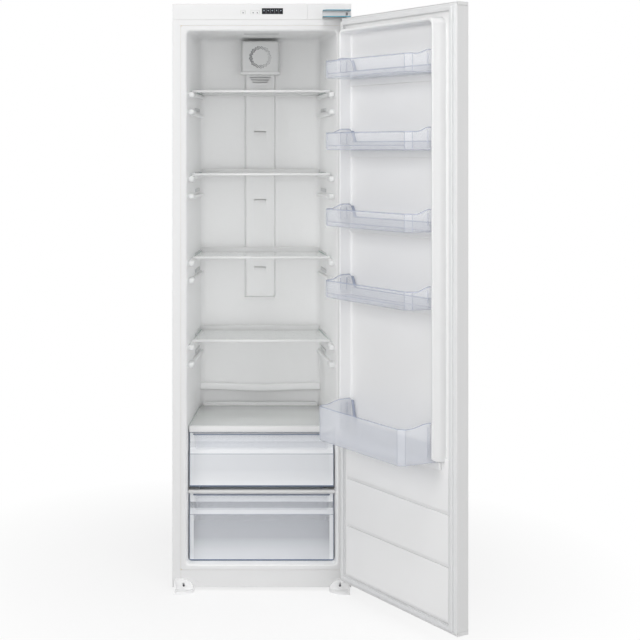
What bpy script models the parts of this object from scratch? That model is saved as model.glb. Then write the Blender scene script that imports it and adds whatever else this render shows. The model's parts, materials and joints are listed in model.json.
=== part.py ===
"""A built-in column refrigerator, in metres, +Z up.

The origin is the middle of the cabinet's underside. X runs to the right as seen from the front and
Y runs from the door into the cabinet. The door is hung on the right and stands open as built.
"""

import math

import bmesh
import bpy
from mathutils import Matrix

# Clearances
FIT = 0.0003
OVERRUN = 0.006
WELD = 0.000001
SCREW_MERGE = 0.00001

# Cabinet shell
CASE_WIDTH = 0.540
CASE_HEIGHT = 1.760
CASE_DEPTH = 0.466
SHEET = 0.001
FRONT_FLANGE = 0.0256
TOP_FLANGE = 0.0176
REAR_RETURN = 0.012
TAB_WIDTH = 0.020
TAB_LENGTH = 0.026
TAB_RISE = 0.0025
TAB_SETBACK = 0.004
TAB_PLACE_SHARES = (-0.53, 0.54)
KICK_HEIGHT = 0.0515
KICK_SCREW_SPREAD = 0.390
KICK_SCREW_RADIUS = 0.0025

# Insulation round the food compartment
SIDE_INSULATION = 0.043
TOP_INSULATION = 0.0825
REAR_INSULATION = 0.061
BAY_INSULATION = 0.035
BAY_ROOF_INSULATION = 0.0344

# Food compartment
SIDE_TAPER = 0.030
CEILING_RISE = 0.0095
FLOOR_HEIGHT = 0.067
LINER_WALL = 0.002
CAVITY_CORNER = 0.018
CORNER_STEPS = 2

# Moulded wall supports
SUPPORT_HEIGHT = 0.009
SUPPORT_REACH = 0.012
SUPPORT_EMBED = 0.001
SUPPORT_ROUND = 0.0035
SUPPORT_LEAD = 0.006
SUPPORT_SHORTFALL = 0.003
SPARE_DROP = 0.0615
LEDGE_SETBACK = 0.005
CRISPER_LEDGE_SHORTFALL = 0.020

# Defrost gutter on the back wall
GUTTER_HEIGHT = 0.024
GUTTER_REACH = 0.018
GUTTER_ABOVE_COVER = 0.0714
GUTTER_SAG = 0.006
GUTTER_TROUGH = 0.010
GUTTER_LIP = 0.003
DRAIN_RADIUS = 0.007
DRAIN_BORE = 0.005
DRAIN_SETBACK = 0.031
DRAIN_BEND = 0.012

# Control fascia
FASCIA_HEIGHT = 0.048
FASCIA_DEPTH = 0.030
FASCIA_WALL = 0.0025
HINGE_COVER_WIDTH = 0.132
DISPLAY_WIDTH = 0.0634
DISPLAY_HEIGHT = 0.0175
DISPLAY_OFFSET = 0.0321
DISPLAY_UP = 0.0255
BUTTON_HEIGHT = 0.010
MODE_BUTTON_WIDTH = 0.014
SET_BUTTON_WIDTH = 0.026
MODE_BUTTON_OFFSET = 0.0887
SET_BUTTON_OFFSET = 0.0524
BUTTON_UP = 0.022
BUTTON_STEM = 0.005
BUTTON_TRAVEL = 0.0006
BOARD_THICKNESS = 0.0016
BOARD_STANDOFF = 0.010
BOARD_WIDTH = 0.170
BOARD_MARGIN = 0.016
POST_SIZE = 0.005
POST_PLACE_SHARE = 0.92

# Ceiling lamp
LAMP_WIDTH = 0.110
LAMP_DEPTH = 0.060
LAMP_SETBACK = 0.100
LAMP_THICKNESS = 0.007
LAMP_FACE_DROP = 0.0006
LAMP_EDGE = 0.0015

# Fan
FAN_COVER_WIDTH = 0.121
FAN_COVER_HEIGHT = 0.1092
FAN_COVER_BELOW_CEILING = 0.0018
FAN_COVER_SKIRT = 0.003
FAN_COVER_DEPTH = 0.060
FAN_COVER_WALL = 0.002
FAN_COVER_EDGE = 0.004
FAN_INTAKE_SLOTS = 6
FAN_INTAKE_SLOT_HEIGHT = 0.005
FAN_INTAKE_PITCH = 0.012
MOTOR_RADIUS = 0.020
MOTOR_LENGTH = 0.018
SHAFT_RADIUS = 0.002
SHAFT_LENGTH = 0.018
IMPELLER_RADIUS = 0.044
IMPELLER_LENGTH = 0.014
IMPELLER_STANDOFF = 0.002
HUB_RADIUS = 0.012
HUB_BORE_PLAY = 0.0003
BLADES = 7
BLADE_THICKNESS = 0.0016
BLADE_PITCH_DEG = 32

# Air duct, with its places as shares of the height from the crisper cover to the ceiling
DUCT_WIDTH = 0.103
DUCT_DEPTH = 0.0145
DUCT_EDGE = 0.006
DUCT_CHANNEL_WIDTH = 0.080
DUCT_CHANNEL_DEPTH = 0.005
DUCT_LOW_SHARE = 0.2937
VENT_WIDTH = 0.039
VENT_HEIGHT = 0.022
VENT_SCOOP = 0.007
VENT_SLOT = 0.003
VENT_TOP_SHARES = (0.7529, 0.5654, 0.3795)
SLAT_COUNT = 3
SLAT_HEIGHT = 0.004
SLAT_PITCH = 0.008
SLAT_WIDTH = 0.069
SLAT_NARROWING = 0.0105
CLIP_RADIUS = 0.0035
CLIP_DEPTH = 0.0012
CLIP_PLACE_SHARES = (0.7746, 0.6687, 0.3062)

# Glass shelves, with their places as shares of the same height
SHELF_COUNT = 4
SHELF_TOP_SHARE = 0.85565
SHELF_PITCH_SHARE = 0.21494
SHELF_BEHIND_BALCONY = 0.006
SHELF_BEFORE_DUCT = 0.0035
SHELF_SIDE_PLAY = 0.0055
GLASS = 0.004
GLASS_DROP = 0.001
TRIM_HEIGHT = 0.0075
TRIM_DEPTH = 0.012
TRIM_GRIP = 0.007
REAR_LIP = 0.010
TRIM_EDGE = 0.0012

# Crisper cover, drawer frame and drawers
CRISPER_TRIM_HEIGHT = 0.0181
CRISPER_ABOVE_DRAWER = 0.0009
CRISPER_BEHIND_RIM = 0.004
CRISPER_BEFORE_WALL = 0.024
CRISPER_SIDE_PLAY = 0.004
DIVIDER_HEIGHT = 0.0085
DIVIDER_LEAD = 0.002
DIVIDER_BAR = 0.012
DIVIDER_ON_HUMP = 0.050
DIVIDER_RAIL = 0.030
DIVIDER_SIDE_PLAY = 0.001
DRAWER_SETBACK = 0.004
DRAWER_FACE_SIDE_PLAY = 0.004
DRAWER_FACE = 0.003
DRAWER_FACE_EDGE = 0.001
DRAWER_GRIP_HEIGHT = 0.048
DRAWER_STEP_HEIGHT = 0.016
DRAWER_STEP_BACK = 0.010
DRAWER_SIDE_PLAY = 0.0175
DRAWER_DRAFT = 0.006
DRAWER_WALL = 0.0025
DRAWER_ROUND = 0.007
DRAWER_RIM_DROP = 0.006
UPPER_DRAWER_RISE = 0.0095
UPPER_DRAWER_HEIGHT = 0.1659
UPPER_DRAWER_SHORTFALL = 0.041
LOWER_DRAWER_DROP = 0.0005
LOWER_DRAWER_SHORTFALL = 0.012
RUNNER_WIDTH = 0.005
RUNNER_INSET = 0.003

# Hinges
PIN_RADIUS = 0.004
PIN_PLAY = 0.0003
PIN_HEAD_RADIUS = 0.006
PIN_HEAD = 0.002
PIN_COLLAR = 0.0012
PIN_IN_DOOR = 0.009
HINGE_PLATE = 0.0025
HINGE_INSET = 0.010
HINGE_SETBACK = 0.0185
TOP_HINGE_WIDTH = 0.0834
TOP_HINGE_HEIGHT = 0.022
TOP_HINGE_UP = 0.004
TOP_HINGE_MARGIN = 0.004
TOP_HINGE_TAPER = 0.010
TOP_HINGE_OVERHANG = 0.0055
TOP_DOOR_GAP = 0.0032
HINGE_SLOT_WIDTH = 0.007
HINGE_SLOT_INSET = 0.006
LOW_HINGE_FOOT = 0.003
LOW_HINGE_ARM_HEIGHT = 0.0258
LOW_HINGE_ARM = 0.002
LOW_HINGE_ARM_INNER = 0.015
LOW_HINGE_ARM_OUTER = 0.0085
LOW_HINGE_OVERHANG = 0.0035
LOW_HINGE_LEFT_INSET = 0.0025

# Door
DOOR_MARGIN = 0.002
DOOR_THICKNESS = 0.0373
SEAL_GAP = 0.012
DOOR_RETURN = 0.004
CAP_HEIGHT = 0.010
CAP_RIM = 0.003
OPEN_ANGLE_DEG = 120.74
DOOR_SKIN = 0.002
RIM_SIDE_PLAY = 0.0065
RIM_BAND = 0.0100
RIM_RISE = 0.044
RIM_ABOVE_COVER = 0.0054
RIM_BELOW_CEILING = 0.0035
RIM_ROUND = 0.0035
PANEL_RISE = 0.005
PLATEAU_MARGIN = 0.033
PLATEAU_FOOT = 0.0304
PLATEAU_RISE = 0.004
GROOVE_PLACE_SHARES = (0.7205, 0.4306)
GROOVE_HEIGHT = 0.009
GROOVE_DEPTH = 0.0015
RIDGE_HEIGHT = 0.014
RIDGE_RISE = 0.007
SEAL_INNER_INSET = 0.024
SEAL_BULB_WIDTH = 0.013
SEAL_BASE_WIDTH = 0.019
SEAL_BASE_HEIGHT = 0.003
SEAL_ROUND = 0.002

# Door balconies, with their places as shares of the height of the door's raised rim
BALCONY_PLACE_SHARES = (0.87573, 0.70109, 0.51637, 0.34257)
BOTTLE_BELOW_RIM = 0.003
BALCONY_SIDE_PLAY = 0.0045
BALCONY_TAPER = 0.007
BALCONY_CORNER = 0.015
BALCONY_WALL = 0.0025
BALCONY_BACK = 0.003
SHELF_BALCONY_REACH = 0.112
SHELF_BALCONY_FRONT = 0.051
SHELF_BALCONY_END = 0.063
SHELF_BALCONY_REAR = 0.026
BOTTLE_BALCONY_REACH = 0.135
BOTTLE_BALCONY_FRONT = 0.099
BOTTLE_BALCONY_END = 0.109
BOTTLE_BALCONY_REAR = 0.040
END_FLAT_SHARE = 0.36
END_RISE_SHARE = 0.86
END_CURVE_STEPS = 6

# Feet
FLOOR_DROP = 0.010
FOOT_MARGIN = 0.0075
FOOT_WIDTH = 0.059
FOOT_REACH = 0.041
FOOT_INNER_REACH = 0.010
FOOT_SOLE = 0.008
FOOT_WALL = 0.004
FOOT_ARCH_FRONT = 0.012
FOOT_CURVE_STEPS = 5
FOOT_SCREW_RADIUS = 0.0032
FOOT_SCREW_UP = 0.024
FOOT_SCREW_INSET = 0.027
FOOT_NOSE_DROP = 0.0195

# Machine bay and cooling circuit
BAY_DEPTH = 0.181
TRAY_AIR = 0.0167
COMPRESSOR_OFFSET = 0.075
COMPRESSOR_FROM_REAR = 0.081
COMPRESSOR_RADIUS = 0.074
COMPRESSOR_UP = 0.0197
COMPRESSOR_HEIGHT = 0.161
COMPRESSOR_SEAM = 0.004
COMPRESSOR_SEAM_HEIGHT = 0.006
COMPRESSOR_BASE = 0.0025
COMPRESSOR_BASE_WIDTH = 0.170
COMPRESSOR_BASE_DEPTH = 0.110
GROMMET_RADIUS = 0.010
TERMINAL_WIDTH = 0.040
TERMINAL_DEPTH = 0.064
TERMINAL_HEIGHT = 0.060
TERMINAL_UP = 0.041
INLET_WIDTH = 0.028
INLET_HEIGHT = 0.022
INLET_DEPTH = 0.016
RAIL_SHEET = 0.002
RAIL_ABOVE_BASE = 0.012
RAIL_SETBACK = 0.015
RAIL_LIP = 0.012
SKID_WIDTH = 0.050
SKID_MARGIN = 0.008
SKID_LENGTH = 0.066
TRAY_WIDTH = 0.170
TRAY_DEPTH = 0.136
TRAY_HEIGHT = 0.028
TRAY_WALL = 0.0025
TRAY_OFFSET = 0.013
PIPE_RADIUS = 0.0025
PIPE_RESOLUTION = 2
COIL_STANDOFF = 0.013
COIL_RUNS = 13
COIL_BELOW_TOP = 0.140
COIL_ABOVE_BAY = 0.180
COIL_SIDE_MARGIN = 0.105
COIL_BEND_STEPS = 5
RISER_MARGIN = 0.034
WIRE = 0.0016
WIRE_COUNT = 31
WIRE_OVERHANG = 0.0025
WIRE_MARGIN = 0.020
LUG_WIDTH = 0.008
LUG_SHEET = 0.0015
LUG_LIP = 0.004
LUG_RUNS = (1, 11)
LUG_SLOTS = (5, 24)
DRYER_RADIUS = 0.009
DRYER_LENGTH = 0.090
DRYER_NECK = 0.0035
DRYER_SIDE_MARGIN = 0.080
DRYER_BELOW_COIL = 0.085
STUB_RADIUS = 0.004
STUB_LENGTH = 0.014
DISCHARGE_UP = 0.056
SUCTION_UP = 0.096
SUCTION_RADIUS = 0.004
SUCTION_REACH = 0.031
SUCTION_ABOVE_BAY = 0.130
SUCTION_STUB_IN = 0.012

# Derived places of the cabinet
HALF_CASE = CASE_WIDTH / 2
FRONT_Y = -CASE_DEPTH / 2
FASCIA_BASE = CASE_HEIGHT - FASCIA_HEIGHT
FLANGE_HALF = HALF_CASE - FRONT_FLANGE
FLANGE_TOP = FASCIA_BASE - TOP_FLANGE
HINGE_COVER_LEFT = HALF_CASE - HINGE_COVER_WIDTH
DISPLAY_X = DISPLAY_OFFSET
DISPLAY_Z = FASCIA_BASE + DISPLAY_UP
MODE_BUTTON_X = DISPLAY_X - MODE_BUTTON_OFFSET
SET_BUTTON_X = DISPLAY_X - SET_BUTTON_OFFSET
BUTTON_Z = FASCIA_BASE + BUTTON_UP
BOARD_SETBACK = FASCIA_WALL + BOARD_STANDOFF
BOARD_HEIGHT = FASCIA_HEIGHT - BOARD_MARGIN

# Derived places of the compartment and the bay
OPENING_HALF = HALF_CASE - SIDE_INSULATION
CAVITY_DEPTH = CASE_DEPTH - REAR_INSULATION
CEILING_FRONT = CASE_HEIGHT - TOP_INSULATION
CEILING_BACK = CEILING_FRONT + CEILING_RISE
RAIL_BASE = RAIL_ABOVE_BASE
COMPRESSOR_LOW = RAIL_BASE + RAIL_SHEET + FIT + COMPRESSOR_UP
COMPRESSOR_TOP = COMPRESSOR_LOW + COMPRESSOR_HEIGHT
BAY_FRONT = CASE_DEPTH - BAY_DEPTH
BAY_TOP = COMPRESSOR_TOP + FIT + TRAY_HEIGHT + TRAY_AIR
HUMP_FRONT = BAY_FRONT - BAY_INSULATION
HUMP_TOP = BAY_TOP + BAY_ROOF_INSULATION

# Derived places of the hinges and the door
INNER_PLANE = -SEAL_GAP
HALF_DOOR = HALF_CASE - DOOR_MARGIN
PIVOT_X = HALF_DOOR - HINGE_INSET
PIVOT_DEPTH = INNER_PLANE - HINGE_SETBACK
TOP_HINGE_LOW = FASCIA_BASE + TOP_HINGE_UP
TOP_HINGE_RIGHT = HALF_CASE - TOP_HINGE_MARGIN
TOP_HINGE_LEFT = TOP_HINGE_RIGHT - TOP_HINGE_WIDTH
TOP_HINGE_REACH = -PIVOT_DEPTH + PIN_HEAD_RADIUS + TOP_HINGE_OVERHANG
LOW_HINGE_REACH = -PIVOT_DEPTH + PIN_HEAD_RADIUS + LOW_HINGE_OVERHANG
DOOR_LOW = LOW_HINGE_ARM_HEIGHT + LOW_HINGE_ARM + PIN_COLLAR + 2 * FIT
DOOR_TOP = TOP_HINGE_LOW - TOP_DOOR_GAP
FOOT_TOP = LOW_HINGE_ARM_HEIGHT - FIT
FOOT_NOSE = FOOT_TOP - FOOT_NOSE_DROP
FOOT_OUTER = HALF_CASE - FOOT_MARGIN
FOOT_INNER = FOOT_OUTER - FOOT_WIDTH
FOOT_SCREW_X = FOOT_OUTER - FOOT_SCREW_INSET
FOOT_SCREW_Z = FOOT_SCREW_UP - FLOOR_DROP
LOW_HINGE_LEFT = FOOT_INNER + LOW_HINGE_LEFT_INSET

# Derived places of the drawers, the cover and the shelves
DIVIDER_LOW = HUMP_TOP + FIT
UPPER_FACE_LOW = DIVIDER_LOW + DIVIDER_HEIGHT + UPPER_DRAWER_RISE
UPPER_FACE_TOP = UPPER_FACE_LOW + UPPER_DRAWER_HEIGHT
LOWER_FACE_TOP = DIVIDER_LOW - LOWER_DRAWER_DROP
CRISPER_TOP = UPPER_FACE_TOP + CRISPER_ABOVE_DRAWER + CRISPER_TRIM_HEIGHT
CRISPER_FRONT = RIM_RISE - SEAL_GAP + CRISPER_BEHIND_RIM
CRISPER_REAR = CAVITY_DEPTH - CRISPER_BEFORE_WALL
CRISPER_LEDGE_BACK = CRISPER_REAR - CRISPER_LEDGE_SHORTFALL
DIVIDER_FRONT = CRISPER_FRONT - DIVIDER_LEAD
DIVIDER_REAR = HUMP_FRONT + DIVIDER_ON_HUMP
DRAWER_FRONT = CRISPER_FRONT + DRAWER_SETBACK
DRAWER_LEDGE_FRONT = DRAWER_FRONT + DRAWER_STEP_BACK + DRAWER_FACE + LEDGE_SETBACK
UPPER_DRAWER_REAR = CRISPER_REAR - UPPER_DRAWER_SHORTFALL
LOWER_DRAWER_REAR = HUMP_FRONT - LOWER_DRAWER_SHORTFALL
STORAGE_HEIGHT = CEILING_FRONT - CRISPER_TOP
SHELF_FRONT = SHELF_BALCONY_REACH - SEAL_GAP + SHELF_BEHIND_BALCONY
SHELF_REAR = CAVITY_DEPTH - DUCT_DEPTH - SHELF_BEFORE_DUCT
SUPPORT_FRONT = SHELF_FRONT - SUPPORT_LEAD
SUPPORT_BACK = SHELF_REAR - SUPPORT_SHORTFALL
GUTTER_TOP = CRISPER_TOP + GUTTER_ABOVE_COVER
FAN_COVER_TOP = CEILING_FRONT - FAN_COVER_BELOW_CEILING
FAN_COVER_LOW = FAN_COVER_TOP - FAN_COVER_HEIGHT
FAN_Z = (FAN_COVER_LOW + FAN_COVER_TOP) / 2
DUCT_LOW = CRISPER_TOP + DUCT_LOW_SHARE * STORAGE_HEIGHT
VENT_TOPS = [CRISPER_TOP + share * STORAGE_HEIGHT for share in VENT_TOP_SHARES]
CLIP_PLACES = [CRISPER_TOP + share * STORAGE_HEIGHT for share in CLIP_PLACE_SHARES]

# Derived places on the door's inner side
RIM_HALF_WIDTH = OPENING_HALF - RIM_SIDE_PLAY
RIM_LOW = CRISPER_TOP + RIM_ABOVE_COVER
RIM_TOP = CEILING_FRONT - RIM_BELOW_CEILING
PLATEAU_HALF_WIDTH = HALF_DOOR - PLATEAU_MARGIN
PLATEAU_LOW = DOOR_LOW + PLATEAU_FOOT
GROOVE_PLACES = [share * RIM_LOW for share in GROOVE_PLACE_SHARES]
BALCONY_HALF_WIDTH = RIM_HALF_WIDTH - RIM_BAND - BALCONY_SIDE_PLAY
BALCONY_PLACES = [RIM_LOW + share * (RIM_TOP - RIM_LOW) for share in BALCONY_PLACE_SHARES]
BOTTLE_PLACE = RIM_LOW - BOTTLE_BELOW_RIM

# Derived places of the cooling circuit
COMPRESSOR_X = COMPRESSOR_OFFSET
COMPRESSOR_PLACE = CASE_DEPTH - COMPRESSOR_FROM_REAR
DISCHARGE_Z = COMPRESSOR_LOW + DISCHARGE_UP
SUCTION_Z = COMPRESSOR_LOW + SUCTION_UP
SUCTION_X = COMPRESSOR_X + COMPRESSOR_RADIUS + SUCTION_REACH
SUCTION_OUTLET = BAY_TOP + SUCTION_ABOVE_BAY
TRAY_X = COMPRESSOR_X - TRAY_OFFSET
DRAIN_PLACE = CAVITY_DEPTH + DRAIN_SETBACK
RAIL_FRONT = BAY_FRONT + RAIL_SETBACK
COIL_PLACE = CASE_DEPTH + COIL_STANDOFF
COIL_TOP = CASE_HEIGHT - COIL_BELOW_TOP
COIL_LOW = BAY_TOP + COIL_ABOVE_BAY
COIL_PITCH = (COIL_TOP - COIL_LOW) / (COIL_RUNS - 1)
COIL_HALF_RUN = HALF_CASE - COIL_SIDE_MARGIN
RISER_X = HALF_CASE - RISER_MARGIN
WIRE_PITCH = 2 * (COIL_HALF_RUN + COIL_PITCH / 2 + WIRE_OVERHANG) / (WIRE_COUNT - 1)
DRYER_X = DRYER_SIDE_MARGIN - HALF_CASE
DRYER_TOP = COIL_LOW - DRYER_BELOW_COIL

for leftover in list(bpy.data.objects):
    bpy.data.objects.remove(leftover, do_unlink=True)

PARTS = bpy.data.collections.new("column_refrigerator")
CUTTERS = bpy.data.collections.new("cutters")
for collection in (PARTS, CUTTERS):
    bpy.context.scene.collection.children.link(collection)


# Measuring

def deep(distance):
    """World Y of a place that lies this far behind the cabinet's front plane."""
    return FRONT_Y + distance


def wall_half(distance):
    """Half the compartment's width at a depth behind the front plane."""
    return OPENING_HALF - SIDE_TAPER * distance / CAVITY_DEPTH


def ceiling(distance):
    """Height of the compartment's ceiling at a depth behind the front plane."""
    return CEILING_FRONT + CEILING_RISE * distance / CAVITY_DEPTH


def shelf_top(index):
    """Top of a glass shelf's trim, counted from the highest shelf."""
    share = SHELF_TOP_SHARE - index * SHELF_PITCH_SHARE
    return CRISPER_TOP + share * STORAGE_HEIGHT


# Materials

def look(colour, roughness, metallic=0.0, transmission=0.0):
    """The colour and surface values of one finish."""
    return {
        "Base Color": (*colour, 1),
        "Roughness": roughness,
        "Metallic": metallic,
        "Transmission Weight": transmission,
    }


def own_material(part, finish):
    """A Principled material of a part's own, with the values of its finish."""
    material = bpy.data.materials.new(part)
    material.use_nodes = True
    shader = material.node_tree.nodes["Principled BSDF"]
    for socket, value in finish.items():
        shader.inputs[socket].default_value = value
    return material


WHITE_STEEL = look((0.86, 0.87, 0.87), 0.35)
ZINC = look((0.62, 0.66, 0.70), 0.3, metallic=1.0)
WHITE_PLASTIC = look((0.84, 0.85, 0.85), 0.35)
LINER_PLASTIC = look((0.80, 0.81, 0.81), 0.3)
FOAM = look((0.82, 0.72, 0.48), 0.9)
DARK_DISPLAY = look((0.03, 0.035, 0.04), 0.15)
CIRCUIT_BOARD = look((0.04, 0.22, 0.10), 0.5)
FROSTED_LENS = look((0.92, 0.93, 0.93), 0.3, transmission=0.4)
SHELF_GLASS = look((0.80, 0.90, 0.87), 0.05, transmission=0.9)
CLEAR_PLASTIC = look((0.78, 0.82, 0.88), 0.08, transmission=0.85)
BLACK_ENAMEL = look((0.02, 0.02, 0.022), 0.4)
COPPER = look((0.72, 0.40, 0.25), 0.3, metallic=1.0)
GREY_PLASTIC = look((0.30, 0.31, 0.32), 0.5)
SEAL_RUBBER = look((0.78, 0.79, 0.80), 0.6)


# Modelling tools

def place(name, mesh, finish=None):
    """Link a mesh as a part with its own finish, or as a hidden cutter when it has no finish."""
    body = bpy.data.objects.new(name, mesh)
    if finish is None:
        CUTTERS.objects.link(body)
        body.hide_render = True
        body.display_type = "WIRE"
    else:
        PARTS.objects.link(body)
        mesh.materials.append(own_material(name, finish))
    return body


def box(name, x, y, z, finish=None):
    """A cube scaled to the ranges x, y and z, with its origin at its middle."""
    spans = [high - low for low, high in (x, y, z)]
    centre = [(low + high) / 2 for low, high in (x, y, z)]
    form = bmesh.new()
    bmesh.ops.create_cube(form, size=1)
    bmesh.ops.scale(form, vec=spans, verts=form.verts)
    mesh = bpy.data.meshes.new(name)
    form.to_mesh(mesh)
    form.free()
    body = place(name, mesh, finish)
    body.location = centre
    return body


def shaped_box(name, y, half_widths, lows, tops, finish=None, middles=(0, 0)):
    """A cube whose front and back ends have their own half widths, heights and middles."""
    form = bmesh.new()
    bmesh.ops.create_cube(form, size=1)
    for corner in form.verts:
        end = 1 if corner.co.y > 0 else 0
        side = math.copysign(half_widths[end], corner.co.x)
        corner.co.x = middles[end] + side
        corner.co.z = tops[end] if corner.co.z > 0 else lows[end]
        corner.co.y = y[end]
    mesh = bpy.data.meshes.new(name)
    form.to_mesh(mesh)
    form.free()
    return place(name, mesh, finish)


def prism(name, outlines, axis, low, high, finish=None):
    """Extrude flat outlines along x, y or z. The first outline is the edge, the rest are holes.

    The outline's two coordinates are (y, z), (x, z) or (x, y) for the axes x, y and z.
    """
    curve = bpy.data.curves.new(name, "CURVE")
    curve.dimensions = "2D"
    curve.fill_mode = "BOTH"
    curve.extrude = (high - low) / 2
    for outline in outlines:
        spline = curve.splines.new("POLY")
        spline.points.add(len(outline) - 1)
        spline.points.foreach_set("co", [value for a, b in outline for value in (a, b, 0, 1)])
        spline.use_cyclic_u = True
    guide = bpy.data.objects.new(name, curve)
    bpy.context.scene.collection.objects.link(guide)
    mesh = mesh_of(guide)
    middle = (low + high) / 2
    rows = {
        "x": ((0, 0, 1, middle), (1, 0, 0, 0), (0, 1, 0, 0), (0, 0, 0, 1)),
        "y": ((1, 0, 0, 0), (0, 0, -1, middle), (0, 1, 0, 0), (0, 0, 0, 1)),
        "z": ((1, 0, 0, 0), (0, 1, 0, 0), (0, 0, 1, middle), (0, 0, 0, 1)),
    }[axis]
    mesh.transform(Matrix(rows))
    return place(name, mesh, finish)


def mesh_of(guide):
    """The closed mesh of a curve object, which is removed."""
    bpy.context.view_layer.update()
    evaluated = guide.evaluated_get(bpy.context.evaluated_depsgraph_get())
    mesh = bpy.data.meshes.new_from_object(evaluated)
    form = bmesh.new()
    form.from_mesh(mesh)
    bmesh.ops.remove_doubles(form, verts=form.verts, dist=WELD)
    bmesh.ops.recalc_face_normals(form, faces=form.faces)
    form.to_mesh(mesh)
    form.free()
    mesh.materials.clear()
    bpy.data.objects.remove(guide, do_unlink=True)
    return mesh


def pipe(name, points, radius, finish=None, resolution=PIPE_RESOLUTION):
    """A round tube along a list of points, with closed ends."""
    curve = bpy.data.curves.new(name, "CURVE")
    curve.dimensions = "3D"
    curve.bevel_depth = radius
    curve.bevel_resolution = resolution
    curve.use_fill_caps = True
    spline = curve.splines.new("POLY")
    spline.points.add(len(points) - 1)
    spline.points.foreach_set("co", [value for point in points for value in (*point, 1)])
    guide = bpy.data.objects.new(name, curve)
    bpy.context.scene.collection.objects.link(guide)
    return place(name, mesh_of(guide), finish)


def cylinder(name, centre, radius, low, high, axis="z", finish=None, sides=16):
    """A round bar along an axis, from low to high, through the centre's other two coordinates."""
    form = bmesh.new()
    bmesh.ops.create_cone(
        form, cap_ends=True, segments=sides, radius1=radius, radius2=radius, depth=high - low
    )
    mesh = bpy.data.meshes.new(name)
    form.to_mesh(mesh)
    form.free()
    middle = (low + high) / 2
    a, b = centre
    turn, spot = {
        "x": (Matrix.Rotation(math.radians(90), 4, "Y"), (middle, a, b)),
        "y": (Matrix.Rotation(math.radians(90), 4, "X"), (a, middle, b)),
        "z": (Matrix.Identity(4), (a, b, middle)),
    }[axis]
    mesh.transform(Matrix.Translation(spot) @ turn)
    return place(name, mesh, finish)


def turned(name, profile, centre, finish=None, sides=24, lean=None):
    """A solid of revolution from (radius, height) points that run from its top to its foot."""
    mesh = bpy.data.meshes.new(name)
    mesh.from_pydata(
        [(radius, 0, height) for radius, height in profile],
        [(index, index + 1) for index in range(len(profile) - 1)],
        [],
    )
    body = place(name, mesh, finish)
    body.location = centre
    if lean:
        body.rotation_euler = lean
    screw = body.modifiers.new("turn", "SCREW")
    screw.angle = math.tau
    screw.steps = sides
    screw.render_steps = sides
    screw.use_merge_vertices = True
    screw.merge_threshold = SCREW_MERGE
    return body


def combine(body, tool, operation):
    """Join, cut or intersect a body with a tool."""
    step = body.modifiers.new(operation.lower(), "BOOLEAN")
    step.operation = operation
    step.object = tool
    step.solver = "EXACT"


def cut(body, *tools):
    """Cut tools out of a body."""
    for tool in tools:
        combine(body, tool, "DIFFERENCE")


def join(body, *tools):
    """Make tools part of a body."""
    for tool in tools:
        combine(body, tool, "UNION")


def soften(body, width, segments=1):
    """Bevel the sharp edges of a body."""
    step = body.modifiers.new("bevel", "BEVEL")
    step.width = width
    step.segments = segments
    step.limit_method = "ANGLE"
    step.angle_limit = math.radians(40)


def round_rear(body, radius):
    """Round the two upright edges at the back of a body."""
    form = bmesh.new()
    form.from_mesh(body.data)
    rear = max(corner.co.y for corner in form.verts) - WELD
    upright = []
    for edge in form.edges:
        one, other = (corner.co for corner in edge.verts)
        if min(one.y, other.y) > rear and one.x * other.x > 0:
            upright.append(edge)
    bmesh.ops.bevel(
        form, geom=upright, offset=radius, segments=CORNER_STEPS, profile=1 / 2, affect="EDGES"
    )
    form.to_mesh(body.data)
    form.free()


def merged(name, tools):
    """One cutter that holds several separate closed forms."""
    form = bmesh.new()
    for tool in tools:
        bpy.context.view_layer.update()
        evaluated = tool.evaluated_get(bpy.context.evaluated_depsgraph_get())
        mesh = bpy.data.meshes.new_from_object(evaluated)
        mesh.transform(tool.matrix_world)
        form.from_mesh(mesh)
        bpy.data.meshes.remove(mesh)
        bpy.data.objects.remove(tool, do_unlink=True)
    mesh = bpy.data.meshes.new(name)
    form.to_mesh(mesh)
    form.free()
    return place(name, mesh)


def arc(centre, radii, start_deg, end_deg, steps):
    """Points along an ellipse's arc, both ends included."""
    points = []
    for step in range(steps + 1):
        angle = math.radians(start_deg + (end_deg - start_deg) * step / steps)
        points.append(
            (centre[0] + radii[0] * math.cos(angle), centre[1] + radii[1] * math.sin(angle))
        )
    return points


def rectangle(x, z):
    """Corners of a rectangle with the ranges x and z."""
    return [(x[0], z[0]), (x[1], z[0]), (x[1], z[1]), (x[0], z[1])]


def about(middle, size):
    """The range of a size about its middle."""
    return (middle - size / 2, middle + size / 2)


# Cabinet shell

def case_profile(inset, low):
    """Side view of the cabinet, notched for the fascia and drawn in by an inset."""
    return [
        (deep(inset), low),
        (deep(inset), FASCIA_BASE - inset),
        (deep(FASCIA_DEPTH + inset), FASCIA_BASE - inset),
        (deep(FASCIA_DEPTH + inset), CASE_HEIGHT - inset),
        (deep(CASE_DEPTH - inset), CASE_HEIGHT - inset),
        (deep(CASE_DEPTH - inset), low),
    ]


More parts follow.
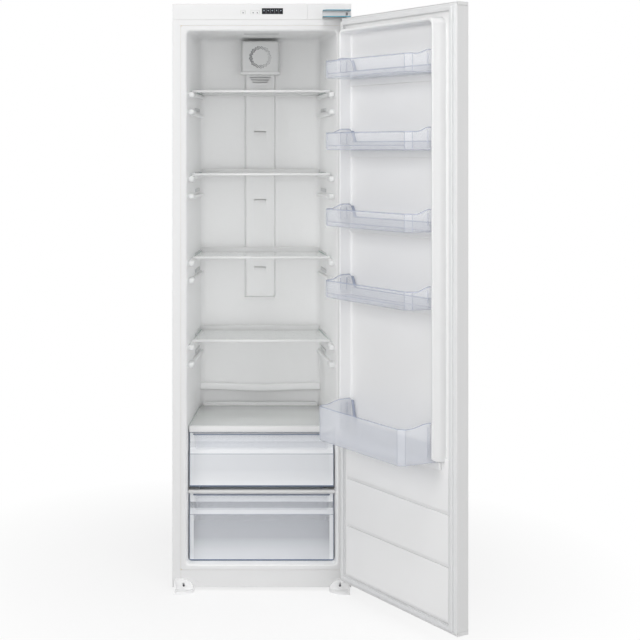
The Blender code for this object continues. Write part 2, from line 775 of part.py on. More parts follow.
def outer_casing(finish):
    """Painted sheet wrapper with its front flanges, rear returns and two fixing tabs on top."""
    casing = prism("outer_casing", [case_profile(0, 0)], "x", -HALF_CASE, HALF_CASE, finish)
    half = HALF_CASE - SHEET
    cut(casing, prism("casing_hollow", [case_profile(SHEET, -OVERRUN)], "x", -half, half))
    front = (deep(-OVERRUN), deep(SHEET + OVERRUN))
    cut(casing, box("front_window", (-FLANGE_HALF, FLANGE_HALF), front, (-OVERRUN, FLANGE_TOP)))
    back = (deep(CASE_DEPTH - OVERRUN), deep(CASE_DEPTH + OVERRUN))
    half = HALF_CASE - REAR_RETURN
    cut(casing, box("rear_window", (-half, half), back, (-OVERRUN, CASE_HEIGHT - REAR_RETURN)))
    start = FASCIA_DEPTH + TAB_SETBACK
    for number, share in enumerate(TAB_PLACE_SHARES):
        tab = box(
            f"tab_{number}",
            about(share * HALF_CASE, TAB_WIDTH),
            (deep(start), deep(start + TAB_LENGTH)),
            (CASE_HEIGHT - SHEET / 2, CASE_HEIGHT + TAB_RISE),
        )
        join(casing, tab)
    return casing


def back_panel(finish):
    """Rear sheet between the casing's returns, with four lugs that hold the condenser."""
    half = HALF_CASE - REAR_RETURN - FIT
    y = (deep(CASE_DEPTH - SHEET), deep(CASE_DEPTH))
    z = (BAY_TOP + SHEET + FIT, CASE_HEIGHT - REAR_RETURN - FIT)
    panel = box("back_panel", (-half, half), y, z, finish)
    behind = COIL_PLACE + PIPE_RADIUS + FIT
    for run in LUG_RUNS:
        level = COIL_TOP - run * COIL_PITCH - PIPE_RADIUS - FIT
        hook = [
            (deep(CASE_DEPTH - SHEET / 2), level - LUG_SHEET),
            (deep(behind + LUG_SHEET), level - LUG_SHEET),
            (deep(behind + LUG_SHEET), level + LUG_LIP),
            (deep(behind), level + LUG_LIP),
            (deep(behind), level),
            (deep(CASE_DEPTH - SHEET / 2), level),
        ]
        for slot in LUG_SLOTS:
            x = about(slot_middle(slot), LUG_WIDTH)
            join(panel, prism(f"lug_{run}_{slot}", [hook], "x", *x))
    suction = cylinder(
        "suction_hole",
        (SUCTION_X, SUCTION_OUTLET),
        SUCTION_RADIUS + FIT,
        deep(CASE_DEPTH - OVERRUN),
        deep(CASE_DEPTH + OVERRUN),
        axis="y",
    )
    cut(panel, suction)
    return panel


def base_panel(finish):
    """One folded sheet: kick strip, underside, bay wall and bay roof."""
    t = SHEET
    rear = CASE_DEPTH - SHEET - FIT
    path = [
        (deep(0), KICK_HEIGHT),
        (deep(0), 0),
        (deep(BAY_FRONT), 0),
        (deep(BAY_FRONT), BAY_TOP),
        (deep(rear), BAY_TOP),
        (deep(rear), BAY_TOP + t),
        (deep(BAY_FRONT - t), BAY_TOP + t),
        (deep(BAY_FRONT - t), t),
        (deep(t), t),
        (deep(t), KICK_HEIGHT),
    ]
    half = HALF_CASE - SHEET - FIT
    panel = prism("base_panel", [path], "x", -half, half, finish)
    front = (deep(-OVERRUN), deep(SHEET + FIT))
    for side in (-1, 1):
        x = sorted((side * (FLANGE_HALF - FIT), side * (half + OVERRUN)))
        cut(panel, box("kick_notch", x, front, (-OVERRUN, KICK_HEIGHT + OVERRUN)))
    hole = cylinder(
        "drain_hole", (0, deep(DRAIN_PLACE)), DRAIN_RADIUS + FIT,
        BAY_TOP - OVERRUN, BAY_TOP + OVERRUN,
    )
    screws = []
    for side in (-1, 1):
        screws.append(
            cylinder(
                f"kick_screw_{side}", (side * KICK_SCREW_SPREAD / 2, KICK_HEIGHT / 3), KICK_SCREW_RADIUS,
                deep(-OVERRUN), deep(OVERRUN), axis="y", sides=12,
            )
        )
    cut(panel, hole, merged("kick_screws", screws))
    return panel


def cavity_form(name, grow):
    """The compartment's space, grown on every inner side, with the compressor hump left out."""
    start = -OVERRUN
    depth = CAVITY_DEPTH + grow
    form = shaped_box(
        name,
        (deep(start), deep(depth)),
        (wall_half(start) + grow, wall_half(depth) + grow),
        (FLOOR_HEIGHT - grow, FLOOR_HEIGHT - grow),
        (ceiling(start) + grow, ceiling(depth) + grow),
    )
    round_rear(form, CAVITY_CORNER + grow)
    hump = box(
        f"{name}_hump",
        (-HALF_CASE, HALF_CASE),
        (deep(HUMP_FRONT + grow), deep(depth + CAVITY_CORNER)),
        (-OVERRUN, HUMP_TOP - grow),
    )
    cut(form, hump)
    return form


def wall_support(name, top, front, back, reach, side):
    """A moulded ledge along a side wall, slightly sunk into the wall that carries it."""
    middles = []
    for distance in (front, back):
        outer = wall_half(distance) + SUPPORT_EMBED
        middles.append(side * (outer - (reach + SUPPORT_EMBED) / 2))
    half = (reach + SUPPORT_EMBED) / 2
    return shaped_box(
        name,
        (deep(front), deep(back)),
        (half, half),
        (top - SUPPORT_HEIGHT, top - SUPPORT_HEIGHT),
        (top, top),
        middles=middles,
    )


def wall_supports():
    """Every ledge on the two side walls, as one tool."""
    ledges = []
    rows = []
    for index in range(SHELF_COUNT):
        top = shelf_top(index) - TRIM_HEIGHT - FIT
        rows.append((top, SUPPORT_FRONT, SUPPORT_BACK, SUPPORT_REACH))
        rows.append((top - SPARE_DROP, SUPPORT_FRONT, SUPPORT_BACK, SUPPORT_REACH))
    crisper = CRISPER_TOP - GLASS_DROP - GLASS - FIT
    rows.append((crisper, DRAWER_LEDGE_FRONT, CRISPER_LEDGE_BACK, SUPPORT_REACH))
    rows.append((DIVIDER_LOW - FIT, DRAWER_LEDGE_FRONT, HUMP_FRONT - SUPPORT_REACH, SUPPORT_REACH))
    for number, (top, front, back, reach) in enumerate(rows):
        for side in (-1, 1):
            ledge = wall_support(f"ledge_{number}_{side}", top, front, back, reach, side)
            if number < 2 * SHELF_COUNT:
                soften(ledge, SUPPORT_ROUND)
            ledges.append(ledge)
    return merged("wall_supports", ledges)


def gutter():
    """The sagging drip rail on the back wall, with its trough."""
    back = CAVITY_DEPTH + SUPPORT_EMBED
    half = wall_half(CAVITY_DEPTH) + SUPPORT_EMBED
    top = GUTTER_TOP
    low = top - GUTTER_HEIGHT
    outline = [(-half, low), (0, low - GUTTER_SAG), (half, low)]
    outline += [(half, top), (0, top - GUTTER_SAG), (-half, top)]
    rail = prism("gutter", [outline], "y", deep(CAVITY_DEPTH - GUTTER_REACH), deep(back))
    floor = top - GUTTER_TROUGH
    end = wall_half(CAVITY_DEPTH) - CAVITY_CORNER
    trough = [(-end, floor), (0, floor - GUTTER_SAG), (end, floor)]
    trough += [(end, top + OVERRUN), (-end, top + OVERRUN)]
    front = CAVITY_DEPTH - GUTTER_REACH + GUTTER_LIP
    cut(rail, prism("trough", [trough], "y", deep(front), deep(CAVITY_DEPTH)))
    combine(rail, cavity_form("gutter_limit", SUPPORT_EMBED), "INTERSECT")
    return rail


def drain_level():
    """Height of the drain's inlet, at the lowest point of the gutter's trough."""
    return GUTTER_TOP - GUTTER_TROUGH - GUTTER_SAG + DRAIN_BORE


def inner_liner(finish):
    """Thermoformed compartment with its front frame, ledges, gutter and compressor hump."""
    half = FLANGE_HALF - FIT
    low = KICK_HEIGHT + FIT
    liner = box("inner_liner", (-half, half), (deep(0), deep(LINER_WALL)), (low, FLANGE_TOP - FIT), finish)
    shell = cavity_form("liner_shell", LINER_WALL)
    trim = box(
        "shell_front_trim",
        (-HALF_CASE, HALF_CASE),
        (deep(-HALF_CASE), deep(LINER_WALL / 2)),
        (0, CASE_HEIGHT),
    )
    cut(shell, trim)
    join(liner, shell)
    cut(liner, cavity_form("liner_space", 0))
    join(liner, wall_supports(), gutter())
    drain = cylinder(
        "liner_drain", (0, drain_level()), DRAIN_BORE,
        deep(CAVITY_DEPTH - SUPPORT_EMBED), deep(CAVITY_DEPTH + LINER_WALL + OVERRUN), axis="y",
    )
    cut(liner, drain, lamp_hole("liner_lamp_hole"))
    return liner


def insulation_foam(finish):
    """Foam block between the casing, the liner and the base panel."""
    inset = SHEET + FIT
    half = HALF_CASE - inset
    foam = prism("insulation_foam", [case_profile(inset, inset)], "x", -half, half, finish)
    bay = box(
        "foam_bay",
        (-HALF_CASE, HALF_CASE),
        (deep(BAY_FRONT - SHEET - FIT), deep(CASE_DEPTH + OVERRUN)),
        (-OVERRUN, BAY_TOP + SHEET + FIT),
    )
    cut(foam, bay, cavity_form("foam_space", LINER_WALL + FIT))
    frame = box(
        "foam_front",
        (-HALF_CASE, HALF_CASE),
        (deep(-OVERRUN), deep(LINER_WALL + FIT)),
        (-OVERRUN, FLANGE_TOP + FIT),
    )
    cut(foam, frame)
    lamp = box(
        "foam_lamp",
        about(0, LAMP_WIDTH + 2 * LAMP_EDGE),
        (deep(LAMP_SETBACK - LAMP_EDGE), deep(LAMP_SETBACK + LAMP_DEPTH + LAMP_EDGE)),
        (CEILING_FRONT, lamp_low() + LAMP_THICKNESS + BOARD_THICKNESS + 2 * FIT + LAMP_EDGE),
    )
    cut(foam, lamp, pipe("foam_drain", drain_route(0), DRAIN_RADIUS + FIT))
    line = cylinder(
        "foam_suction", (SUCTION_X, SUCTION_OUTLET), SUCTION_RADIUS + FIT,
        deep(CASE_DEPTH - SUCTION_STUB_IN), deep(CASE_DEPTH + OVERRUN), axis="y",
    )
    cut(foam, line)
    return foam


# Lamp

def lamp_low():
    """Lowest face of the lamp lens, just under the ceiling."""
    return ceiling(LAMP_SETBACK) - LAMP_FACE_DROP


def lamp_hole(name):
    """The opening in the ceiling that the lens fills."""
    return box(
        name,
        about(0, LAMP_WIDTH + 2 * FIT),
        (deep(LAMP_SETBACK - FIT), deep(LAMP_SETBACK + LAMP_DEPTH + FIT)),
        (CEILING_FRONT - OVERRUN, CEILING_BACK + OVERRUN),
    )


def lamp(lens_finish, board_finish):
    """Light lens in the ceiling with its board above it."""
    y = (deep(LAMP_SETBACK), deep(LAMP_SETBACK + LAMP_DEPTH))
    low = lamp_low()
    top = low + LAMP_THICKNESS
    lens = box("lamp_lens", about(0, LAMP_WIDTH), y, (low, top), lens_finish)
    soften(lens, LAMP_EDGE)
    board = box("lamp_board", about(0, LAMP_WIDTH), y, (top + FIT, top + FIT + BOARD_THICKNESS), board_finish)
    return lens, board


# Control fascia

def fascia_shell(name, x, finish):
    """A cover strip that is open at the back."""
    z = (FASCIA_BASE + FIT, CASE_HEIGHT)
    cover = box(name, x, (deep(0), deep(FASCIA_DEPTH - FIT)), z, finish)
    wall = FASCIA_WALL
    hollow = box(
        f"{name}_hollow",
        (x[0] + wall, x[1] - wall),
        (deep(wall), deep(FASCIA_DEPTH + OVERRUN)),
        (z[0] + wall, z[1] - wall),
    )
    cut(cover, hollow)
    return cover


def control_fascia(finish):
    """Left cover strip with its display window, button holes and board posts."""
    fascia = fascia_shell("control_fascia", (-HALF_CASE, HINGE_COVER_LEFT - FIT), finish)
    front = (deep(-OVERRUN), deep(FASCIA_WALL + OVERRUN))
    windows = [
        (DISPLAY_X, DISPLAY_Z, DISPLAY_WIDTH, DISPLAY_HEIGHT),
        (MODE_BUTTON_X, BUTTON_Z, MODE_BUTTON_WIDTH, BUTTON_HEIGHT),
        (SET_BUTTON_X, BUTTON_Z, SET_BUTTON_WIDTH, BUTTON_HEIGHT),
    ]
    for number, (x, z, width, height) in enumerate(windows):
        hole = box(f"fascia_window_{number}", about(x, width + 2 * FIT), front, about(z, height + 2 * FIT))
        cut(fascia, hole)
    y = (deep(FASCIA_WALL / 2), deep(BOARD_SETBACK - FIT))
    for across in (-1, 1):
        for up in (-1, 1):
            x = across * POST_PLACE_SHARE * BOARD_WIDTH / 2
            z = DISPLAY_Z + up * POST_PLACE_SHARE * (BOARD_HEIGHT - POST_SIZE) / 2
            join(fascia, box(f"post_{across}_{up}", about(x, POST_SIZE), y, about(z, POST_SIZE)))
    return fascia


def hinge_cover(finish):
    """Right cover strip in front of the hinge reinforcement."""
    return fascia_shell("hinge_cover", (HINGE_COVER_LEFT, HALF_CASE), finish)


def control_board(finish):
    """Circuit board that carries the display and takes the button stems."""
    y = (deep(BOARD_SETBACK), deep(BOARD_SETBACK + BOARD_THICKNESS))
    return box("control_board", about(0, BOARD_WIDTH), y, about(DISPLAY_Z, BOARD_HEIGHT), finish)


def display_window(finish):
    """Dark window over the five lights, on a light guide that reaches the board."""
    window = box(
        "display_window",
        about(DISPLAY_X, DISPLAY_WIDTH),
        (deep(0), deep(FASCIA_WALL)),
        about(DISPLAY_Z, DISPLAY_HEIGHT),
        finish,
    )
    guide = box(
        "light_guide",
        about(DISPLAY_X, DISPLAY_WIDTH - 2 * POST_SIZE),
        (deep(FASCIA_WALL / 2), deep(BOARD_SETBACK - FIT)),
        about(DISPLAY_Z, POST_SIZE),
    )
    join(window, guide)
    return window


def push_button(name, x, width, finish):
    """A flush key with a stem that stops just short of the board by its travel."""
    key = box(name, about(x, width), (deep(0), deep(FASCIA_WALL)), about(BUTTON_Z, BUTTON_HEIGHT), finish)
    soften(key, FASCIA_WALL / 8)
    stem = box(
        f"{name}_stem",
        about(x, BUTTON_STEM),
        (deep(FASCIA_WALL / 2), deep(BOARD_SETBACK - FIT - BUTTON_TRAVEL)),
        about(BUTTON_Z, BUTTON_STEM),
    )
    join(key, stem)
    return key


# Fan and duct

def fan_cover(finish):
    """Square cover over the fan, with flared skirts and intake slots down both sides."""
    wall = FAN_COVER_WALL
    front = CAVITY_DEPTH - FAN_COVER_DEPTH
    y = (deep(front), deep(CAVITY_DEPTH - FIT))
    half = FAN_COVER_WIDTH / 2
    flare = FAN_COVER_SKIRT
    lows = (FAN_COVER_LOW + 2 * flare, FAN_COVER_LOW)
    tops = (FAN_COVER_TOP, FAN_COVER_TOP + flare)
    cover = shaped_box("fan_cover", y, (half, half + flare), lows, tops, finish)
    soften(cover, FAN_COVER_EDGE)
    hollow = shaped_box(
        "fan_cover_hollow",
        (deep(front + wall), deep(CAVITY_DEPTH + OVERRUN)),
        (half - wall, half + flare - wall),
        (lows[0] + wall, lows[1] + wall),
        (tops[0] - wall, tops[1] - wall),
    )
    cut(cover, hollow)
    middle = (FAN_INTAKE_SLOTS - 1) / 2
    depth = about(front + FAN_COVER_DEPTH / 2, FAN_COVER_DEPTH / 2)
    reach = (-half - flare - OVERRUN, half + flare + OVERRUN)
    slots = []
    for number in range(FAN_INTAKE_SLOTS):
        level = FAN_Z + (number - middle) * FAN_INTAKE_PITCH
        height = about(level, FAN_INTAKE_SLOT_HEIGHT)
        slots.append(box(f"intake_{number}", reach, (deep(depth[0]), deep(depth[1])), height))
    cut(cover, merged("fan_intake", slots))
    channel = box(
        "fan_outlet",
        about(0, DUCT_CHANNEL_WIDTH),
        (deep(CAVITY_DEPTH - DUCT_CHANNEL_DEPTH - FIT), deep(CAVITY_DEPTH + OVERRUN)),
        (FAN_COVER_LOW - OVERRUN, FAN_COVER_LOW + wall + OVERRUN),
    )
    cut(cover, channel)
    return cover


def fan_motor(finish):
    """Motor can on the back wall with its shaft."""
    rear = CAVITY_DEPTH - FIT
    face = rear - MOTOR_LENGTH
    profile = [
        (0, MOTOR_LENGTH + SHAFT_LENGTH),
        (SHAFT_RADIUS, MOTOR_LENGTH + SHAFT_LENGTH),
        (SHAFT_RADIUS, MOTOR_LENGTH),
        (MOTOR_RADIUS - SHAFT_RADIUS, MOTOR_LENGTH),
        (MOTOR_RADIUS, MOTOR_LENGTH - SHAFT_RADIUS),
        (MOTOR_RADIUS, 0),
        (0, 0),
    ]
    motor = turned(
        "fan_motor", profile, (0, deep(rear), FAN_Z), finish, sides=16, lean=(math.radians(90), 0, 0)
    )
    return motor, face


def fan_impeller(face, finish):
    """Axial impeller on the motor's shaft, blades set at an angle on a bored hub."""
    rear = face - IMPELLER_STANDOFF
    front = rear - IMPELLER_LENGTH
    hub = cylinder(
        "fan_impeller", (0, FAN_Z), HUB_RADIUS, deep(front), deep(rear), axis="y",
        finish=finish, sides=14,
    )
    blades = []
    inner = HUB_RADIUS * math.cos(math.radians(30))
    for number in range(BLADES):
        blade = box(
            f"blade_{number}",
            (inner, IMPELLER_RADIUS),
            about(0, BLADE_THICKNESS),
            about(0, IMPELLER_LENGTH),
        )
        pitch = Matrix.Rotation(math.radians(90 - BLADE_PITCH_DEG), 4, "X")
        turn = Matrix.Rotation(math.tau * number / BLADES, 4, "Y")
        spot = Matrix.Translation((0, deep((front + rear) / 2), FAN_Z))
        blade.matrix_world = spot @ turn @ pitch @ Matrix.Translation(blade.location)
        blades.append(blade)
    join(hub, merged("fan_blades", blades))
    bore = cylinder(
        "hub_bore", (0, FAN_Z), SHAFT_RADIUS + HUB_BORE_PLAY,
        deep(front - OVERRUN), deep(rear + OVERRUN), axis="y", sides=12,
    )
    cut(hub, bore)
    bpy.context.view_layer.update()
    centre = Matrix.Translation((0, deep((front + rear) / 2), FAN_Z))
    hub.data.transform(centre.inverted())
    hub.matrix_world = centre
    return hub


def air_duct(finish):
    """Raised air duct with three intake slats, three scooped vents and three clip dimples."""
    front = CAVITY_DEPTH - DUCT_DEPTH
    half = DUCT_WIDTH / 2
    top = FAN_COVER_LOW - FIT
    duct = shaped_box(
        "air_duct",
        (deep(front), deep(CAVITY_DEPTH - FIT)),
        (half - DUCT_EDGE, half),
        (DUCT_LOW + DUCT_EDGE, DUCT_LOW),
        (top, top),
        finish,
    )
    channel = box(
        "duct_channel",
        about(0, DUCT_CHANNEL_WIDTH),
        (deep(CAVITY_DEPTH - FIT - DUCT_CHANNEL_DEPTH), deep(CAVITY_DEPTH + OVERRUN)),
        (VENT_TOPS[-1] - VENT_HEIGHT, top + OVERRUN),
    )
    cut(duct, channel)
    through = (deep(front - OVERRUN), deep(CAVITY_DEPTH - FIT - DUCT_CHANNEL_DEPTH / 2))
    slots = []
    for number in range(SLAT_COUNT):
        level = FAN_COVER_LOW - (number + 1) * SLAT_PITCH
        width = SLAT_WIDTH - number * SLAT_NARROWING
        slots.append(box(f"slat_{number}", about(0, width), through, about(level, SLAT_HEIGHT)))
    for number, vent in enumerate(VENT_TOPS):
        slots.append(box(f"vent_slot_{number}", about(0, VENT_WIDTH), through, (vent - VENT_SLOT, vent)))
    cut(duct, merged("duct_slots", slots))
    for number, vent in enumerate(VENT_TOPS):
        scoop = [
            (deep(front - OVERRUN), vent - VENT_HEIGHT),
            (deep(front), vent - VENT_HEIGHT),
            (deep(front + VENT_SCOOP), vent - VENT_SLOT / 2),
            (deep(front - OVERRUN), vent - VENT_SLOT / 2),
        ]
        half_vent = VENT_WIDTH / 2
        cut(duct, prism(f"scoop_{number}", [scoop], "x", -half_vent, half_vent))
    clips = []
    for number, level in enumerate(CLIP_PLACES):
        clips.append(
            cylinder(
                f"clip_{number}", (0, level), CLIP_RADIUS,
                deep(front - OVERRUN), deep(front + CLIP_DEPTH), axis="y", sides=12,
            )
        )
    cut(duct, merged("duct_clips", clips))
    return duct


# Shelves

def glass_plate(name, front, rear, side_play, top, finish=None, grow=0):
    """A glass plate that narrows with the compartment, optionally grown to cut its own groove."""
    return shaped_box(
        name,
        (deep(front - grow), deep(rear + grow)),
        (wall_half(front) - side_play + grow, wall_half(rear) - side_play + grow),
        (top - GLASS - grow, top - GLASS - grow),
        (top + grow, top + grow),
        finish,
    )


def shelf_set(prefix, top, trim_height, front, rear, side_plays, glass_finish, trim_finish):
    """Glass plate with a front trim and a raised rear trim, each grooved for the glass.

    The side plays are those of the front trim, with the glass, and of the rear trim.
    """
    glass_front = front + TRIM_DEPTH - TRIM_GRIP
    glass_rear = rear - TRIM_DEPTH + TRIM_GRIP
    glass_top = top - GLASS_DROP
    plate = (glass_front, glass_rear, side_plays[0] + FIT, glass_top)
    glass = glass_plate(f"{prefix}_glass", *plate, glass_finish)
    pieces = [glass]
    low = top - trim_height
    ends = (("front", front, 0), ("rear", rear - TRIM_DEPTH, REAR_LIP))
    for (end, start, rise), side_play in zip(ends, side_plays):
        stop = start + TRIM_DEPTH
        trim = shaped_box(
            f"{prefix}_{end}_trim",
            (deep(start), deep(stop)),
            (wall_half(start) - side_play, wall_half(stop) - side_play),
            (low, low),
            (top + rise, top + rise),
            trim_finish,
        )
        soften(trim, TRIM_EDGE)
        cut(trim, glass_plate(f"{prefix}_{end}_groove", *plate, grow=FIT))
        pieces.append(trim)
    return pieces


def drawer_divider(finish):
    """Frame between the drawers: a front bar and two rails on the wall ledges."""
    z = (DIVIDER_LOW, DIVIDER_LOW + DIVIDER_HEIGHT)
    bar_end = DIVIDER_FRONT + DIVIDER_BAR
    play = DIVIDER_SIDE_PLAY
    frame = [
        (-wall_half(DIVIDER_FRONT) + play, deep(DIVIDER_FRONT)),
        (wall_half(DIVIDER_FRONT) - play, deep(DIVIDER_FRONT)),
        (wall_half(DIVIDER_REAR) - play, deep(DIVIDER_REAR)),
        (wall_half(DIVIDER_REAR) - DIVIDER_RAIL, deep(DIVIDER_REAR)),
        (wall_half(bar_end) - DIVIDER_RAIL, deep(bar_end)),
        (-wall_half(bar_end) + DIVIDER_RAIL, deep(bar_end)),
        (-wall_half(DIVIDER_REAR) + DIVIDER_RAIL, deep(DIVIDER_REAR)),
        (-wall_half(DIVIDER_REAR) + play, deep(DIVIDER_REAR)),
    ]
    divider = prism("drawer_divider", [frame], "z", *z, finish)
    soften(divider, TRIM_EDGE)
    return divider


def drawer(name, face_low, face_top, body_low, rear, runner_low, finish):
    """A clear moulded drawer: stepped face, tapering bin and, on the upper one, two runners."""
    step_low = face_top - DRAWER_GRIP_HEIGHT - DRAWER_STEP_HEIGHT
    step_top = face_top - DRAWER_GRIP_HEIGHT
    y0 = deep(DRAWER_FRONT)
    y1 = y0 + DRAWER_STEP_BACK
    face_profile = [
        (y0, face_low),
        (y0 + DRAWER_FACE, face_low),
        (y0 + DRAWER_FACE, step_low),
        (y1 + DRAWER_FACE, step_top),
        (y1 + DRAWER_FACE, face_top),
        (y1, face_top),
        (y1, step_top),
        (y0, step_low),
    ]
    half = wall_half(DRAWER_FRONT) - DRAWER_FACE_SIDE_PLAY
    body = prism(name, [face_profile], "x", -half, half, finish)
    soften(body, DRAWER_FACE_EDGE)
    front = DRAWER_FRONT - 2 * DRAWER_ROUND
    rim = face_top - DRAWER_RIM_DROP
    bin_shell = drawer_bin(f"{name}_bin", front, rear, 0, body_low, rim)
    inside = drawer_bin(
        f"{name}_space", front, rear - DRAWER_WALL, DRAWER_WALL, body_low + DRAWER_WALL, rim
    )
    if runner_low is not None:
        join(bin_shell, drawer_runners(name, rear, runner_low, body_low))
    clear_width = HALF_CASE
    before_face = prism(
        f"{name}_before_face", [face_clearance(face_low, face_top)], "x", -clear_width, clear_width
    )
    above = box(
        f"{name}_above",
        (-HALF_CASE, HALF_CASE),
        (deep(-OVERRUN), deep(rear + OVERRUN)),
        (rim, rim + 3 * DRAWER_ROUND),
    )
    cut(bin_shell, inside, before_face, above)
    join(body, bin_shell)
    return body


def drawer_runners(name, rear, low, body_low):
    """The two ribs under a drawer's floor that slide on the divider's rails."""
    start = DRAWER_FRONT + 2 * DRAWER_FACE
    stop = rear - 2 * DRAWER_WALL
    runners = []
    for side in (-1, 1):
        middles = []
        for distance in (start, stop):
            edge = wall_half(distance) - DRAWER_SIDE_PLAY - DRAWER_DRAFT - RUNNER_INSET
            middles.append(side * (edge - RUNNER_WIDTH / 2))
        runner = shaped_box(
            f"{name}_runner_{side}",
            (deep(start), deep(stop)),
            (RUNNER_WIDTH / 2, RUNNER_WIDTH / 2),
            (low, low),
            (body_low + DRAWER_ROUND, body_low + DRAWER_ROUND),
            middles=middles,
        )
        runners.append(runner)
    return merged(f"{name}_runners", runners)


def face_clearance(face_low, face_top):
    """Side view of the space in front of a drawer's stepped face."""
    step_low = face_top - DRAWER_GRIP_HEIGHT - DRAWER_STEP_HEIGHT
    step_top = face_top - DRAWER_GRIP_HEIGHT
    y0 = deep(DRAWER_FRONT) + DRAWER_FACE / 2
    y1 = y0 + DRAWER_STEP_BACK
    ahead = y0 - 3 * DRAWER_ROUND
    return [
        (ahead, face_low - 2 * DRAWER_ROUND),
        (y0, face_low - 2 * DRAWER_ROUND),
        (y0, step_low),
        (y1, step_top),
        (y1, face_top + 3 * DRAWER_ROUND),
        (ahead, face_top + 3 * DRAWER_ROUND),
    ]


def drawer_bin(name, front, rear, inset, low, rim):
    """The bin's block, narrowing towards the back and towards its floor.

    It stands above the rim, where it is cut off, so that the rim isn't rounded over.
    """
    top = rim + 2 * DRAWER_ROUND
    form = bmesh.new()
    bmesh.ops.create_cube(form, size=1)
    for corner in form.verts:
        distance = rear if corner.co.y > 0 else front
        half = wall_half(distance) - DRAWER_SIDE_PLAY - inset
        if corner.co.z < 0:
            half -= DRAWER_DRAFT
            corner.co.z = low
        else:
            corner.co.z = top
        corner.co.x = math.copysign(half, corner.co.x)
        corner.co.y = deep(distance)
    mesh = bpy.data.meshes.new(name)
    form.to_mesh(mesh)
    form.free()
    block = place(name, mesh)
    soften(block, DRAWER_ROUND - inset)
    return block


# Door, built closed and then turned about its hinge

def door_outer_panel(finish):
    """Painted steel pan: outer face, both long edges and their returns."""
    half = HALF_DOOR
    back = INNER_PLANE
    front = INNER_PLANE - DOOR_THICKNESS
    t = SHEET
    r = DOOR_RETURN
    outline = [
        (-half, deep(front)),
        (half, deep(front)),
        (half, deep(back)),
        (half - r, deep(back)),
        (half - r, deep(back - t)),
        (half - t, deep(back - t)),
        (half - t, deep(front + t)),
        (-half + t, deep(front + t)),
        (-half + t, deep(back - t)),
        (-half + r, deep(back - t)),
        (-half + r, deep(back)),
        (-half, deep(back)),
    ]
    z = (DOOR_LOW + CAP_HEIGHT + FIT, DOOR_TOP - CAP_HEIGHT - FIT)
    return prism("door_outer_panel", [outline], "z", *z, finish)


def door_cap(name, low, top, rim_low, rim_top, finish):
    """End cap across the door with its bored hinge seat and a rim towards the cabinet."""
    y = (deep(INNER_PLANE - DOOR_THICKNESS), deep(INNER_PLANE - DOOR_SKIN - FIT))
    cap = box(name, (-HALF_DOOR, HALF_DOOR), y, (low, top), finish)
    rim = (y[1] - OVERRUN, deep(INNER_PLANE))
    join(cap, box(f"{name}_rim", (-HALF_DOOR, HALF_DOOR), rim, (rim_low, rim_top)))
    bore = cylinder(
        f"{name}_bore", (PIVOT_X, deep(PIVOT_DEPTH)), PIN_RADIUS + PIN_PLAY, low - OVERRUN, top + OVERRUN
    )
    cut(cap, bore)
    return cap


def rim_outline(shrink):
    """Front view of the inverted U that stands round the door's inner panel."""
    outer = RIM_HALF_WIDTH - shrink
    inner = RIM_HALF_WIDTH - RIM_BAND + shrink
    top = RIM_TOP - shrink
    low = RIM_LOW + shrink
    crown = RIM_TOP - RIM_BAND + shrink
    return [
        (-outer, low), (-inner, low), (-inner, crown), (inner, crown),
        (inner, low), (outer, low), (outer, top), (-outer, top),
    ]


def rim_form(name, shrink, base, rise):
    """The inverted U as a solid from a base depth up to its rise."""
    form = prism(name, [rim_outline(shrink)], "y", deep(INNER_PLANE + base), deep(INNER_PLANE + rise))
    if shrink == 0:
        soften(form, RIM_ROUND)
    return form


